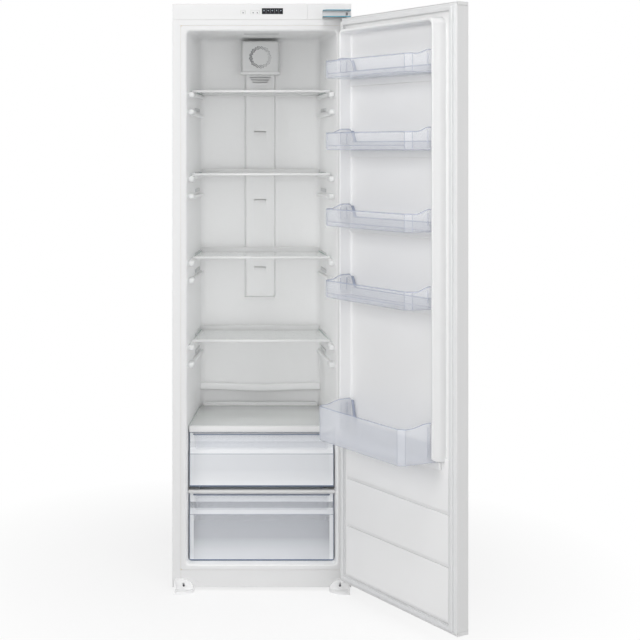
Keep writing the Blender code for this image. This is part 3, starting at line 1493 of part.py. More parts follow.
def door_liner(finish):
    """Thermoformed inner door: sealing flange, raised rim, panel with ridges and lower plateau."""
    half = HALF_DOOR - DOOR_RETURN - FIT
    z = (DOOR_LOW + CAP_RIM + FIT, DOOR_TOP - CAP_RIM - FIT)
    skin = (deep(INNER_PLANE - DOOR_SKIN), deep(INNER_PLANE))
    liner = box("door_liner", (-half, half), skin, z, finish)
    base = INNER_PLANE - DOOR_SKIN / 2
    panel_half = RIM_HALF_WIDTH - RIM_BAND / 2
    panel = box(
        "liner_panel",
        (-panel_half, panel_half),
        (deep(base), deep(INNER_PLANE + PANEL_RISE)),
        (RIM_LOW + RIM_BAND / 2, RIM_TOP - RIM_BAND / 2),
    )
    plateau = box(
        "liner_plateau",
        (-PLATEAU_HALF_WIDTH, PLATEAU_HALF_WIDTH),
        (deep(base), deep(INNER_PLANE + PLATEAU_RISE)),
        (PLATEAU_LOW, RIM_LOW + RIM_BAND),
    )
    soften(plateau, PLATEAU_RISE / 2)
    join(liner, plateau, panel, rim_form("liner_rim", 0, -DOOR_SKIN / 2, RIM_RISE))
    ridges = []
    for number, level in enumerate((*BALCONY_PLACES, BOTTLE_PLACE)):
        ridge = box(
            f"ridge_{number}",
            (-panel_half, panel_half),
            (deep(INNER_PLANE + PANEL_RISE / 2), deep(INNER_PLANE + PANEL_RISE + RIDGE_RISE)),
            (level - FIT - RIDGE_HEIGHT, level - FIT),
        )
        ridges.append(ridge)
    join(liner, merged("liner_ridges", ridges))
    behind = INNER_PLANE - DOOR_SKIN - OVERRUN
    cut(liner, rim_form("rim_hollow", DOOR_SKIN, -DOOR_SKIN - OVERRUN, RIM_RISE - DOOR_SKIN))
    hollow_half = RIM_HALF_WIDTH - RIM_BAND - DOOR_SKIN
    panel_hollow = box(
        "panel_hollow",
        (-hollow_half, hollow_half),
        (deep(behind), deep(INNER_PLANE + PANEL_RISE - DOOR_SKIN)),
        (BOTTLE_PLACE + RIM_BAND, RIM_TOP - RIM_BAND - DOOR_SKIN),
    )
    cut(liner, panel_hollow)
    grooves = []
    for number, level in enumerate(GROOVE_PLACES):
        reach = (-PLATEAU_HALF_WIDTH + GROOVE_HEIGHT, PLATEAU_HALF_WIDTH - GROOVE_HEIGHT)
        depth = (deep(INNER_PLANE + PLATEAU_RISE - GROOVE_DEPTH), deep(INNER_PLANE + PLATEAU_RISE + OVERRUN))
        grooves.append(box(f"groove_{number}", reach, depth, about(level, GROOVE_HEIGHT)))
    cut(liner, merged("liner_grooves", grooves))
    return liner


def door_foam(finish):
    """Foam that fills the pan behind the inner door skin."""
    half = HALF_DOOR - SHEET - FIT
    front = INNER_PLANE - DOOR_THICKNESS + SHEET + FIT
    z = (DOOR_LOW + CAP_HEIGHT + FIT, DOOR_TOP - CAP_HEIGHT - FIT)
    return box("door_foam", (-half, half), (deep(front), deep(INNER_PLANE - DOOR_SKIN - FIT)), z, finish)


def seal_ring(name, width, low, high, finish=None):
    """A ring that follows the door's edge, with its inner side at the seal's line."""
    inner = SEAL_INNER_INSET
    outer = inner - width
    rings = []
    for inset in (outer, inner):
        half = HALF_DOOR - inset
        rings.append(rectangle((-half, half), (DOOR_LOW + inset, DOOR_TOP - inset)))
    return prism(name, rings, "y", deep(low), deep(high), finish)


def door_gasket(finish):
    """Magnetic seal: a wide base on the flange and a narrower bulb."""
    base = INNER_PLANE + FIT
    seal = seal_ring("door_gasket", SEAL_BASE_WIDTH, base, base + SEAL_BASE_HEIGHT, finish)
    bulb = seal_ring("seal_bulb", SEAL_BULB_WIDTH, base + SEAL_BASE_HEIGHT / 2, -FIT)
    soften(bulb, SEAL_ROUND)
    join(seal, bulb)
    return seal


def balcony(name, level, reach, front_height, end_height, rear_height, finish):
    """A clear door balcony: tray with chamfered corners and ends that rise towards the door."""

    def plan(shrink):
        """Top view of the tray, drawn in by a wall."""
        back = INNER_PLANE + PANEL_RISE + BALCONY_BACK + shrink
        front = INNER_PLANE + reach - shrink
        wide = BALCONY_HALF_WIDTH - shrink
        narrow = BALCONY_HALF_WIDTH - BALCONY_TAPER - shrink
        corner = BALCONY_CORNER
        return [
            (-wide, deep(back)), (wide, deep(back)),
            (narrow, deep(front - corner)), (narrow - corner, deep(front)),
            (-narrow + corner, deep(front)), (-narrow, deep(front - corner)),
        ]

    tray = prism(name, [plan(0)], "z", level, level + end_height, finish)
    space = prism(
        f"{name}_space", [plan(BALCONY_WALL)], "z", level + BALCONY_WALL, level + end_height + OVERRUN
    )
    cut(tray, space)
    back = INNER_PLANE + PANEL_RISE + BALCONY_BACK
    span = INNER_PLANE + reach - BALCONY_CORNER - back
    rise_end = back + span * END_FLAT_SHARE
    rise_start = back + span * END_RISE_SHARE
    above = level + end_height + OVERRUN
    brow = [(deep(INNER_PLANE + reach + OVERRUN), above), (deep(rise_end), above)]
    for step in range(END_CURVE_STEPS + 1):
        share = step / END_CURVE_STEPS
        drop = (end_height - front_height) * (1 - math.cos(math.pi * share)) / 2
        distance = rise_end + (rise_start - rise_end) * share
        brow.append((deep(distance), level + end_height - drop))
    brow.append((deep(INNER_PLANE + reach + OVERRUN), level + front_height))
    half = BALCONY_HALF_WIDTH + OVERRUN
    cut(tray, prism(f"{name}_brow", [brow], "x", -half, half))
    notch_half = BALCONY_HALF_WIDTH - BALCONY_WALL - BALCONY_CORNER
    rear = box(
        f"{name}_rear",
        (-notch_half, notch_half),
        (deep(back - OVERRUN), deep(back + BALCONY_WALL + FIT)),
        (level + rear_height, above),
    )
    cut(tray, rear)
    return tray


# Hinges and feet

def top_hinge_bracket(finish):
    """Channel in front of the cover: web, two forward flanges, a pin hole and a slot."""
    y0 = deep(-FIT - HINGE_PLATE)
    y1 = deep(-FIT)
    reach = deep(-TOP_HINGE_REACH)
    low = TOP_HINGE_LOW
    top = TOP_HINGE_LOW + TOP_HINGE_HEIGHT
    channel = [
        (y1, low), (y1, top), (reach, top), (reach, top - HINGE_PLATE),
        (y0, top - HINGE_PLATE), (y0, low + HINGE_PLATE), (reach, low + HINGE_PLATE), (reach, low),
    ]
    bracket = prism("top_hinge_bracket", [channel], "x", TOP_HINGE_LEFT, TOP_HINGE_RIGHT, finish)
    nip = [
        (TOP_HINGE_LEFT - OVERRUN, reach - OVERRUN),
        (TOP_HINGE_LEFT + TOP_HINGE_TAPER + OVERRUN, reach - OVERRUN),
        (TOP_HINGE_LEFT - OVERRUN, reach + TOP_HINGE_TAPER + OVERRUN),
    ]
    corner = prism("hinge_corner", [nip], "z", low - OVERRUN, top + OVERRUN)
    slot = box(
        "hinge_slot",
        (TOP_HINGE_RIGHT - HINGE_SLOT_INSET - HINGE_SLOT_WIDTH, TOP_HINGE_RIGHT - HINGE_SLOT_INSET),
        (y0 - OVERRUN, y1 + OVERRUN),
        (low + 2 * HINGE_PLATE, top - 2 * HINGE_PLATE),
    )
    hole = cylinder(
        "top_pin_hole", (PIVOT_X, deep(PIVOT_DEPTH)), PIN_RADIUS + PIN_PLAY, low - OVERRUN, low + OVERRUN
    )
    cut(bracket, corner, slot, hole)
    return bracket


def bottom_hinge_bracket(finish):
    """Angle on the cabinet's front with an arm under the door."""
    y0 = deep(-FIT - HINGE_PLATE)
    y1 = deep(-FIT)
    top = LOW_HINGE_ARM_HEIGHT + LOW_HINGE_ARM
    right = FOOT_OUTER
    bracket = box("bottom_hinge_bracket", (LOW_HINGE_LEFT, right), (y0, y1), (LOW_HINGE_FOOT, top), finish)
    arm = box(
        "hinge_arm",
        (PIVOT_X - LOW_HINGE_ARM_INNER, PIVOT_X + LOW_HINGE_ARM_OUTER),
        (deep(-LOW_HINGE_REACH), y1),
        (LOW_HINGE_ARM_HEIGHT, top),
    )
    join(bracket, arm)
    hole = cylinder(
        "low_pin_hole", (PIVOT_X, deep(PIVOT_DEPTH)), PIN_RADIUS + PIN_PLAY,
        LOW_HINGE_ARM_HEIGHT - OVERRUN, top + OVERRUN,
    )
    cut(bracket, hole)
    return bracket


def hinge_pin(name, low, collar, top, finish):
    """A pin from low to top with a wider collar between two heights."""
    profile = [(0, top)]
    if top > collar[1]:
        profile += [(PIN_RADIUS, top), (PIN_RADIUS, collar[1])]
    profile += [(PIN_HEAD_RADIUS, collar[1]), (PIN_HEAD_RADIUS, collar[0])]
    profile += [(PIN_RADIUS, collar[0]), (PIN_RADIUS, low), (0, low)]
    return turned(name, profile, (PIVOT_X, deep(PIVOT_DEPTH), 0), finish, sides=16)


def foot(name, side, back, finish):
    """Foot cover at a front corner: sole, arched face with a screw hole and a rounded outer wall."""
    floor = -FLOOR_DROP
    sole_plan = [(side * FOOT_OUTER, deep(-back)), (side * FOOT_OUTER, deep(-FOOT_REACH))]
    bow = arc(
        (FOOT_OUTER, -FOOT_INNER_REACH),
        (FOOT_OUTER - FOOT_INNER, FOOT_REACH - FOOT_INNER_REACH),
        -90, -180, FOOT_CURVE_STEPS,
    )
    sole_plan += [(side * x, deep(y)) for x, y in bow[1:]]
    sole_plan.append((side * FOOT_INNER, deep(-back)))
    piece = prism(name, [sole_plan], "z", floor, floor + FOOT_SOLE, finish)
    arch = [(side * FOOT_OUTER, floor + FOOT_SOLE / 2)]
    arch.append((side * FOOT_OUTER, FOOT_TOP))
    crown = arc(
        (FOOT_SCREW_X, floor + FOOT_SOLE / 2),
        (FOOT_SCREW_X - FOOT_INNER, FOOT_TOP - floor - FOOT_SOLE / 2),
        90, 180, FOOT_CURVE_STEPS,
    )
    arch += [(side * x, z) for x, z in crown]
    face = prism(f"{name}_arch", [arch], "y", deep(-FOOT_ARCH_FRONT), deep(-back))
    cheek = [(deep(-back), floor), (deep(-FOOT_REACH), floor), (deep(-FOOT_REACH), FOOT_NOSE)]
    brow = arc(
        (-FOOT_ARCH_FRONT, FOOT_NOSE),
        (FOOT_REACH - FOOT_ARCH_FRONT, FOOT_TOP - FOOT_NOSE),
        180, 90, FOOT_CURVE_STEPS,
    )
    cheek += [(deep(y), z) for y, z in brow[1:]]
    cheek.append((deep(-back), FOOT_TOP))
    x = sorted((side * (FOOT_OUTER - FOOT_WALL), side * FOOT_OUTER))
    join(piece, face, prism(f"{name}_cheek", [cheek], "x", *x))
    hole = cylinder(
        f"{name}_screw_hole", (side * FOOT_SCREW_X, FOOT_SCREW_Z), FOOT_SCREW_RADIUS,
        deep(-FOOT_REACH), deep(OVERRUN), axis="y", sides=12,
    )
    cut(piece, hole)
    return piece


# Cooling circuit

def slot_middle(slot):
    """Middle of the gap to the right of a condenser wire, counted from the left."""
    return (slot + 1 / 2 - (WIRE_COUNT - 1) / 2) * WIRE_PITCH


def compressor_rail(finish):
    """Pressed cross rail that carries the compressor, with a skid at each end."""
    half = HALF_CASE - SHEET - FIT
    rear = CASE_DEPTH - SHEET - FIT
    z = (RAIL_BASE, RAIL_BASE + RAIL_SHEET)
    path = [
        (deep(RAIL_FRONT), z[0]),
        (deep(rear), z[0]),
        (deep(rear), z[1] + RAIL_LIP),
        (deep(rear - RAIL_SHEET), z[1] + RAIL_LIP),
        (deep(rear - RAIL_SHEET), z[1]),
        (deep(RAIL_FRONT + RAIL_SHEET), z[1]),
        (deep(RAIL_FRONT + RAIL_SHEET), z[1] + RAIL_LIP),
        (deep(RAIL_FRONT), z[1] + RAIL_LIP),
    ]
    rail = prism("compressor_rail", [path], "x", -half, half, finish)
    floor = -FLOOR_DROP
    for side in (-1, 1):
        outer = HALF_CASE - SKID_MARGIN
        ends = sorted((side * outer, side * (outer - SKID_WIDTH)))
        skid = [
            (deep(rear - SKID_LENGTH + FLOOR_DROP), floor),
            (deep(rear - FLOOR_DROP), floor),
            (deep(rear), z[0] + RAIL_SHEET / 2),
            (deep(rear - SKID_LENGTH), z[0] + RAIL_SHEET / 2),
        ]
        join(rail, prism(f"skid_{side}", [skid], "x", *ends))
    return rail


def compressor(finish):
    """Hermetic pot with its weld seam, base plate, mounts, stubs and terminal box."""
    x, y = COMPRESSOR_X, deep(COMPRESSOR_PLACE)
    radius = COMPRESSOR_RADIUS
    low, top = COMPRESSOR_LOW, COMPRESSOR_TOP
    dome = (top - low) / 4
    seam = (low + top) / 2 + COMPRESSOR_SEAM_HEIGHT
    profile = [(r, top - dome + h) for r, h in arc((0, 0), (radius, dome), 90, 0, 5)]
    profile += [
        (radius, seam + COMPRESSOR_SEAM_HEIGHT),
        (radius + COMPRESSOR_SEAM, seam + COMPRESSOR_SEAM_HEIGHT),
        (radius + COMPRESSOR_SEAM, seam),
        (radius, seam),
    ]
    profile += [(r, low + dome + h) for r, h in arc((0, 0), (radius, dome), 0, -90, 4)]
    pot = turned("compressor", profile, (x, y, 0), finish, sides=24)
    rail_top = RAIL_BASE + RAIL_SHEET + FIT
    plate_low = COMPRESSOR_LOW - COMPRESSOR_BASE / 2
    plate = box(
        "compressor_plate",
        about(x, COMPRESSOR_BASE_WIDTH),
        about(y, COMPRESSOR_BASE_DEPTH),
        (plate_low, plate_low + COMPRESSOR_BASE + GROMMET_RADIUS / 2),
    )
    join(pot, plate)
    mounts = []
    for across in (-1, 1):
        for along in (-1, 1):
            centre = (
                x + across * (COMPRESSOR_BASE_WIDTH / 2 - GROMMET_RADIUS),
                y + along * (COMPRESSOR_BASE_DEPTH / 2 - GROMMET_RADIUS),
            )
            mounts.append(
                cylinder(
                    f"mount_{across}_{along}", centre, GROMMET_RADIUS,
                    rail_top, plate_low + COMPRESSOR_BASE / 2, sides=12,
                )
            )
    join(pot, merged("compressor_mounts", mounts))
    terminal_x = (x - radius - TERMINAL_WIDTH / 2, x - radius + TERMINAL_WIDTH / 2)
    terminal_low = COMPRESSOR_LOW + TERMINAL_UP
    terminal = box(
        "terminal_box",
        terminal_x,
        about(y, TERMINAL_DEPTH),
        (terminal_low, terminal_low + TERMINAL_HEIGHT),
    )
    inlet = box(
        "mains_inlet",
        about(terminal_x[0] + INLET_WIDTH / 2, INLET_WIDTH),
        (y + TERMINAL_DEPTH / 2 - OVERRUN, y + TERMINAL_DEPTH / 2 + INLET_DEPTH),
        about(terminal_low + TERMINAL_HEIGHT / 2, INLET_HEIGHT),
    )
    pins = box(
        "inlet_socket",
        about(terminal_x[0] + INLET_WIDTH / 2, INLET_WIDTH - 2 * TRAY_WALL),
        (y + TERMINAL_DEPTH / 2, y + TERMINAL_DEPTH / 2 + INLET_DEPTH + OVERRUN),
        about(terminal_low + TERMINAL_HEIGHT / 2, INLET_HEIGHT - 2 * TRAY_WALL),
    )
    join(pot, terminal, inlet)
    cut(pot, pins)
    for number, level in enumerate((DISCHARGE_Z, SUCTION_Z)):
        stub = cylinder(
            f"stub_{number}", (y, level), STUB_RADIUS,
            x + radius - COMPRESSOR_SEAM * 3, x + radius + STUB_LENGTH, axis="x", sides=10,
        )
        join(pot, stub)
    return pot


def drip_tray(finish):
    """Evaporation tray on the compressor's crown, under the drain."""
    low = COMPRESSOR_TOP + FIT
    x = about(TRAY_X, TRAY_WIDTH)
    y = about(deep(COMPRESSOR_PLACE), TRAY_DEPTH)
    tray = box("drip_tray", x, y, (low, low + TRAY_HEIGHT), finish)
    wall = TRAY_WALL
    space = box(
        "tray_space",
        (x[0] + wall, x[1] - wall),
        (y[0] + wall, y[1] - wall),
        (low + wall, low + TRAY_HEIGHT + OVERRUN),
    )
    cut(tray, space)
    return tray


def drain_route(extra):
    """The drain's line: out of the gutter, round a bend and down into the tray."""
    level = drain_level()
    bend = arc(
        (DRAIN_PLACE - DRAIN_BEND, level - DRAIN_BEND), (DRAIN_BEND, DRAIN_BEND), 90, 0, 4
    )
    start = CAVITY_DEPTH + LINER_WALL + FIT - extra
    low = COMPRESSOR_TOP + FIT + TRAY_HEIGHT / 2 - extra
    return [(0, deep(start), level)] + [(0, deep(y), z) for y, z in bend] + [(0, deep(DRAIN_PLACE), low)]


def drain_tube(finish):
    """Hollow tube that takes defrost water from the gutter to the tray."""
    tube = pipe("drain_tube", drain_route(0), DRAIN_RADIUS, finish)
    cut(tube, pipe("drain_tube_bore", drain_route(OVERRUN), DRAIN_BORE))
    return tube


def discharge_start():
    """Where the condenser line meets the compressor's discharge stub."""
    return COMPRESSOR_X + COMPRESSOR_RADIUS + STUB_LENGTH + FIT


def condenser_coil(finish):
    """One unbroken tube: up from the compressor, then back and forth down the rear."""
    y = deep(COIL_PLACE)
    bay = deep(COMPRESSOR_PLACE)
    start = discharge_start()
    turn = STUB_LENGTH
    points = [(start, bay, DISCHARGE_Z), (start + turn, bay, DISCHARGE_Z)]
    points += [(RISER_X - turn, y - turn, DISCHARGE_Z), (RISER_X, y, DISCHARGE_Z + turn)]
    bend = COIL_PITCH / 2
    points += [(RISER_X, y, COIL_TOP - turn), (RISER_X - turn, y, COIL_TOP)]
    for run in range(COIL_RUNS):
        level = COIL_TOP - run * COIL_PITCH
        side = 1 if run % 2 == 0 else -1
        points.append((side * COIL_HALF_RUN, y, level))
        points.append((-side * COIL_HALF_RUN, y, level))
        if run < COIL_RUNS - 1:
            for step in range(1, COIL_BEND_STEPS):
                angle = math.pi * step / COIL_BEND_STEPS
                points.append(
                    (
                        -side * (COIL_HALF_RUN + bend * math.sin(angle)),
                        y,
                        level - bend + bend * math.cos(angle),
                    )
                )
    last = COIL_TOP - (COIL_RUNS - 1) * COIL_PITCH
    points += [(DRYER_X + turn, y, last), (DRYER_X, y, last - turn), (DRYER_X, y, DRYER_TOP + FIT)]
    return pipe("condenser_coil", points, PIPE_RADIUS, finish)


def condenser_wires(finish):
    """Upright wires welded behind the coil, held by a cross wire at each end."""
    width = (WIRE_COUNT - 1) * WIRE_PITCH + WIRE
    top = COIL_TOP + WIRE_MARGIN
    low = COIL_TOP - (COIL_RUNS - 1) * COIL_PITCH - WIRE_MARGIN
    outlines = [rectangle((-width / 2, width / 2), (low, top))]
    for slot in range(WIRE_COUNT - 1):
        x = about(slot_middle(slot), WIRE_PITCH - WIRE)
        outlines.append(rectangle(x, (low + WIRE, top - WIRE)))
    start = COIL_PLACE + PIPE_RADIUS + FIT
    return prism("condenser_wires", outlines, "y", deep(start), deep(start + WIRE), finish)


def filter_dryer(finish):
    """Copper dryer that hangs from the coil's outlet."""
    top = DRYER_TOP
    low = top - DRYER_LENGTH
    shoulder = DRYER_RADIUS
    profile = [
        (0, top), (DRYER_NECK, top), (DRYER_NECK, top - shoulder / 2),
        (DRYER_RADIUS, top - 2 * shoulder), (DRYER_RADIUS, low + 2 * shoulder),
        (DRYER_NECK, low + shoulder / 2), (DRYER_NECK, low), (0, low),
    ]
    return turned("filter_dryer", profile, (DRYER_X, deep(COIL_PLACE), 0), finish, sides=16)


def suction_pipe(finish):
    """Return line from the evaporator, out of the back panel and down to the compressor."""
    y = deep(COIL_PLACE)
    level = SUCTION_OUTLET
    start = discharge_start()
    turn = STUB_LENGTH
    points = [
        (SUCTION_X, deep(CASE_DEPTH - SUCTION_STUB_IN + FIT), level),
        (SUCTION_X, y - turn / 2, level),
        (SUCTION_X, y, level - turn / 2),
        (SUCTION_X, y, SUCTION_Z + turn),
        (SUCTION_X, y - turn, SUCTION_Z),
        (SUCTION_X, deep(COMPRESSOR_PLACE) + turn / 2, SUCTION_Z),
        (SUCTION_X - turn / 2, deep(COMPRESSOR_PLACE), SUCTION_Z),
        (start, deep(COMPRESSOR_PLACE), SUCTION_Z),
    ]
    return pipe("suction_pipe", points, SUCTION_RADIUS, finish)


# Assembly

def hang_on(axle, pieces):
    """Parent pieces to an empty without moving them."""
    bpy.context.view_layer.update()
    for piece in pieces:
        place_now = piece.matrix_world.copy()
        piece.parent = axle
        piece.matrix_parent_inverse = axle.matrix_world.inverted()
        piece.matrix_world = place_now


def build_cabinet():
    """Cabinet, cooling circuit, controls and everything inside."""
    outer_casing(WHITE_STEEL)
    back_panel(ZINC)
    base_panel(WHITE_STEEL)
    inner_liner(LINER_PLASTIC)
    insulation_foam(FOAM)
    lamp(FROSTED_LENS, CIRCUIT_BOARD)
    control_fascia(WHITE_PLASTIC)
    hinge_cover(WHITE_PLASTIC)
    control_board(CIRCUIT_BOARD)
    display_window(DARK_DISPLAY)
    push_button("mode_button", MODE_BUTTON_X, MODE_BUTTON_WIDTH, WHITE_PLASTIC)
    push_button("set_button", SET_BUTTON_X, SET_BUTTON_WIDTH, WHITE_PLASTIC)
    fan_cover(LINER_PLASTIC)
    motor, face = fan_motor(GREY_PLASTIC)
    fan_impeller(face, GREY_PLASTIC)
    air_duct(LINER_PLASTIC)
    for index in range(SHELF_COUNT):
        prefix = f"shelf_{index + 1}"
        top = shelf_top(index)
        plays = (SHELF_SIDE_PLAY, SHELF_SIDE_PLAY)
        shelf_set(
            prefix, top, TRIM_HEIGHT, SHELF_FRONT, SHELF_REAR, plays, SHELF_GLASS, WHITE_PLASTIC
        )
    plays = (CRISPER_SIDE_PLAY, SUPPORT_REACH + SUPPORT_EMBED)
    shelf_set(
        "crisper_cover", CRISPER_TOP, CRISPER_TRIM_HEIGHT, CRISPER_FRONT, CRISPER_REAR, plays,
        SHELF_GLASS, WHITE_PLASTIC,
    )
    drawer_divider(WHITE_PLASTIC)
    runner_low = DIVIDER_LOW + DIVIDER_HEIGHT + FIT
    drawer(
        "upper_drawer", UPPER_FACE_LOW, UPPER_FACE_TOP, UPPER_FACE_LOW,
        UPPER_DRAWER_REAR, runner_low, CLEAR_PLASTIC,
    )
    lower = FLOOR_HEIGHT + FIT
    drawer("lower_drawer", lower, LOWER_FACE_TOP, lower, LOWER_DRAWER_REAR, None, CLEAR_PLASTIC)
    top_hinge_bracket(ZINC)
    bottom_hinge_bracket(ZINC)
    seat = TOP_HINGE_LOW + HINGE_PLATE + FIT
    head = (seat, seat + PIN_HEAD)
    hinge_pin("top_hinge_pin", DOOR_TOP - PIN_IN_DOOR, head, head[1], ZINC)
    seat = LOW_HINGE_ARM_HEIGHT + LOW_HINGE_ARM + FIT
    collar = (seat, seat + PIN_COLLAR)
    hinge_pin("bottom_hinge_pin", LOW_HINGE_ARM_HEIGHT, collar, DOOR_LOW + PIN_IN_DOOR, ZINC)
    foot("left_foot", -1, FIT, WHITE_PLASTIC)
    foot("right_foot", 1, HINGE_PLATE + 2 * FIT, WHITE_PLASTIC)
    compressor_rail(ZINC)
    compressor(BLACK_ENAMEL)
    drip_tray(GREY_PLASTIC)
    drain_tube(GREY_PLASTIC)
    condenser_coil(BLACK_ENAMEL)
    condenser_wires(BLACK_ENAMEL)
    filter_dryer(COPPER)
    suction_pipe(COPPER)


def build_door():
    """The door and its balconies, built closed and then opened about the hinge."""
    before = set(bpy.data.objects)
    door_outer_panel(WHITE_STEEL)
    door_foam(FOAM)
    door_liner(LINER_PLASTIC)
    door_gasket(SEAL_RUBBER)
    door_cap(
        "door_top_cap", DOOR_TOP - CAP_HEIGHT, DOOR_TOP, DOOR_TOP - CAP_RIM, DOOR_TOP, WHITE_PLASTIC
    )
    door_cap(
        "door_bottom_cap", DOOR_LOW, DOOR_LOW + CAP_HEIGHT, DOOR_LOW, DOOR_LOW + CAP_RIM, WHITE_PLASTIC
    )
    for index, level in enumerate(BALCONY_PLACES):
        balcony(
            f"balcony_{index + 1}", level, SHELF_BALCONY_REACH, SHELF_BALCONY_FRONT,
            SHELF_BALCONY_END, SHELF_BALCONY_REAR, CLEAR_PLASTIC,
        )
    balcony(
        "bottle_balcony", BOTTLE_PLACE, BOTTLE_BALCONY_REACH, BOTTLE_BALCONY_FRONT,
        BOTTLE_BALCONY_END, BOTTLE_BALCONY_REAR, CLEAR_PLASTIC,
    )
    pieces = [item for item in bpy.data.objects if item not in before]
    axle = bpy.data.objects.new("door_hinge_axis", None)
    PARTS.objects.link(axle)
    axle.location = (PIVOT_X, deep(PIVOT_DEPTH), 0)
    hang_on(axle, pieces)
    axle.rotation_euler.z = math.radians(OPEN_ANGLE_DEG)
    bpy.context.view_layer.update()


def main():
    """Build the refrigerator."""
    build_cabinet()
    build_door()


main()
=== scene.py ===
"""Looks of the column refrigerator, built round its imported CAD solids.

The cabinet stands in the row frame: X to the right, Y into the cabinet, Z up, in metres.
Depths are measured back from the cabinet's front plane. Door pieces are worked out for the
closed door and then turned about the hinge pin, because the part rests with its door open.
"""

import json
import logging
import math
from dataclasses import dataclass, replace
from enum import Enum
from typing import Callable, Iterable, Sequence, Union

import bmesh
import bpy
import numpy as np
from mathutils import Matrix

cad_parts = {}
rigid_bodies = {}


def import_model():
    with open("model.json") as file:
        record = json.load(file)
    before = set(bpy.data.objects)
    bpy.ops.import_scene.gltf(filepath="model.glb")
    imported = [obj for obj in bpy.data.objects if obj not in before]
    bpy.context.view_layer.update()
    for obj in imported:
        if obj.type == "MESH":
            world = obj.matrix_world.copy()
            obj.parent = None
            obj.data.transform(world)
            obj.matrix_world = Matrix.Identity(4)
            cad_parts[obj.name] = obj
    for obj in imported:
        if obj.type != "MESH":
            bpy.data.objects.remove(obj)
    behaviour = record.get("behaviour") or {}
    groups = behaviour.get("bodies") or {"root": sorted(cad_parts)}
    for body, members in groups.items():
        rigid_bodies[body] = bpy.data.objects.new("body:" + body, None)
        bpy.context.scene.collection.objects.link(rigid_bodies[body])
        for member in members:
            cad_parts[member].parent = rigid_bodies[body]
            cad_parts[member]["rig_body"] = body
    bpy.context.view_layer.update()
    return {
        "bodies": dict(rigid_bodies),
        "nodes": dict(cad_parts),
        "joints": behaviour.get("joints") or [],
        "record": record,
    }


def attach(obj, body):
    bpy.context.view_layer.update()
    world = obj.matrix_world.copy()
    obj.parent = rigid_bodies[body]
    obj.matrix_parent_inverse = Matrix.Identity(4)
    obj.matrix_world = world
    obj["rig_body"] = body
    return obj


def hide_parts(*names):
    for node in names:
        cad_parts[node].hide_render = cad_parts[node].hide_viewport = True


LOG = logging.getLogger("column_refrigerator")
Number = Union[float, "Socket"]
Array = np.ndarray
Colour = tuple[float, float, float]
Place = Sequence[float]
Span = tuple[float, float]

FRONT_Y = -0.233
CASE_HALF = 0.270
OPENING_HALF = 0.227
SIDE_TAPER = 0.030
CAVITY_DEPTH = 0.405
FLOOR = 0.067
CEILING = 1.6775
CEILING_RISE = 0.0095
HUMP_FRONT = 0.250
HUMP_TOP = 0.2744
LINER_WALL = 0.002
CRISPER_TOP = 0.4776
SHELF_TOPS = (1.5043, 1.2464, 0.9885, 0.7306)
BALCONY_LEVELS = (1.526, 1.318, 1.098, 0.891)
BOTTLE_LEVEL = 0.480
PIVOT = (0.258, FRONT_Y - 0.0305)
OPEN_ANGLE = math.radians(120.74)
INNER_PLANE = -0.012
DOOR_TOP = 1.7128
DOOR_LOW = 0.0296
SINK = 0.001
GOLDEN_ANGLE = 2.39996
CLOUD_SCALE = 9.0
CLOUD_DETAIL = 3.0
CLOUD_SHARE = 0.6
FACING_BLEND = 0.35
GROOVE_WIDTH = 0.03
RELIEF_UNIT = 0.001


# Measures of the compartment

def wall_half(depth: Array) -> Array:
    """Half the compartment's width at a depth: it narrows evenly towards the back."""
    return OPENING_HALF - SIDE_TAPER * depth / CAVITY_DEPTH


def ceiling_at(depth: Array) -> Array:
    """Height of the ceiling at a depth: it rises evenly towards the back."""
    return CEILING + CEILING_RISE * depth / CAVITY_DEPTH


def cabinet_frame(points: Array) -> Array:
    """Turn points given as (x, depth, z) into the row frame."""
    return points + np.array([0.0, FRONT_Y, 0.0])


def door_frame(points: Array) -> Array:
    """Place points of the closed door on the open one.

    A point's offset from the pin is turned by the open angle: x' = x cos - y sin and
    y' = x sin + y cos.

    Args:
        points: Points as (x, rise, z), where rise is measured inwards from the door's inner plane.

    Returns:
        The points in the row frame, with the door open.
    """
    across = points[..., 0] - PIVOT[0]
    inward = points[..., 1] + INNER_PLANE + FRONT_Y - PIVOT[1]
    c, s = math.cos(OPEN_ANGLE), math.sin(OPEN_ANGLE)
    x = PIVOT[0] + c * across - s * inward
    y = PIVOT[1] + s * across + c * inward
    return np.stack([x, y, points[..., 2]], -1)


# Forms

def ease(share: Array) -> Array:
    """Smooth step: 3 s squared minus 2 s cubed, held at 0 and 1 outside that range."""
    held = np.clip(share, 0.0, 1.0)
    return held * held * (3.0 - 2.0 * held)


def quarter(steps: int) -> tuple[Array, Array]:
    """Sine and cosine of angles that run evenly from 0 to a right angle."""
    angle = np.linspace(0.0, math.pi / 2, steps + 1)
    return np.sin(angle), np.cos(angle)


def joined(x: Array, y: Array, z: Array) -> Array:
    """Points from three coordinates, each spread over the others."""
    return np.stack(np.broadcast_arrays(x, y, z), -1)


def mirrored(values: Sequence[float]) -> Array:
    """A column of the values backwards and then forwards, for both ends of a piece."""
    return np.array([*values[::-1], *values])[:, None]


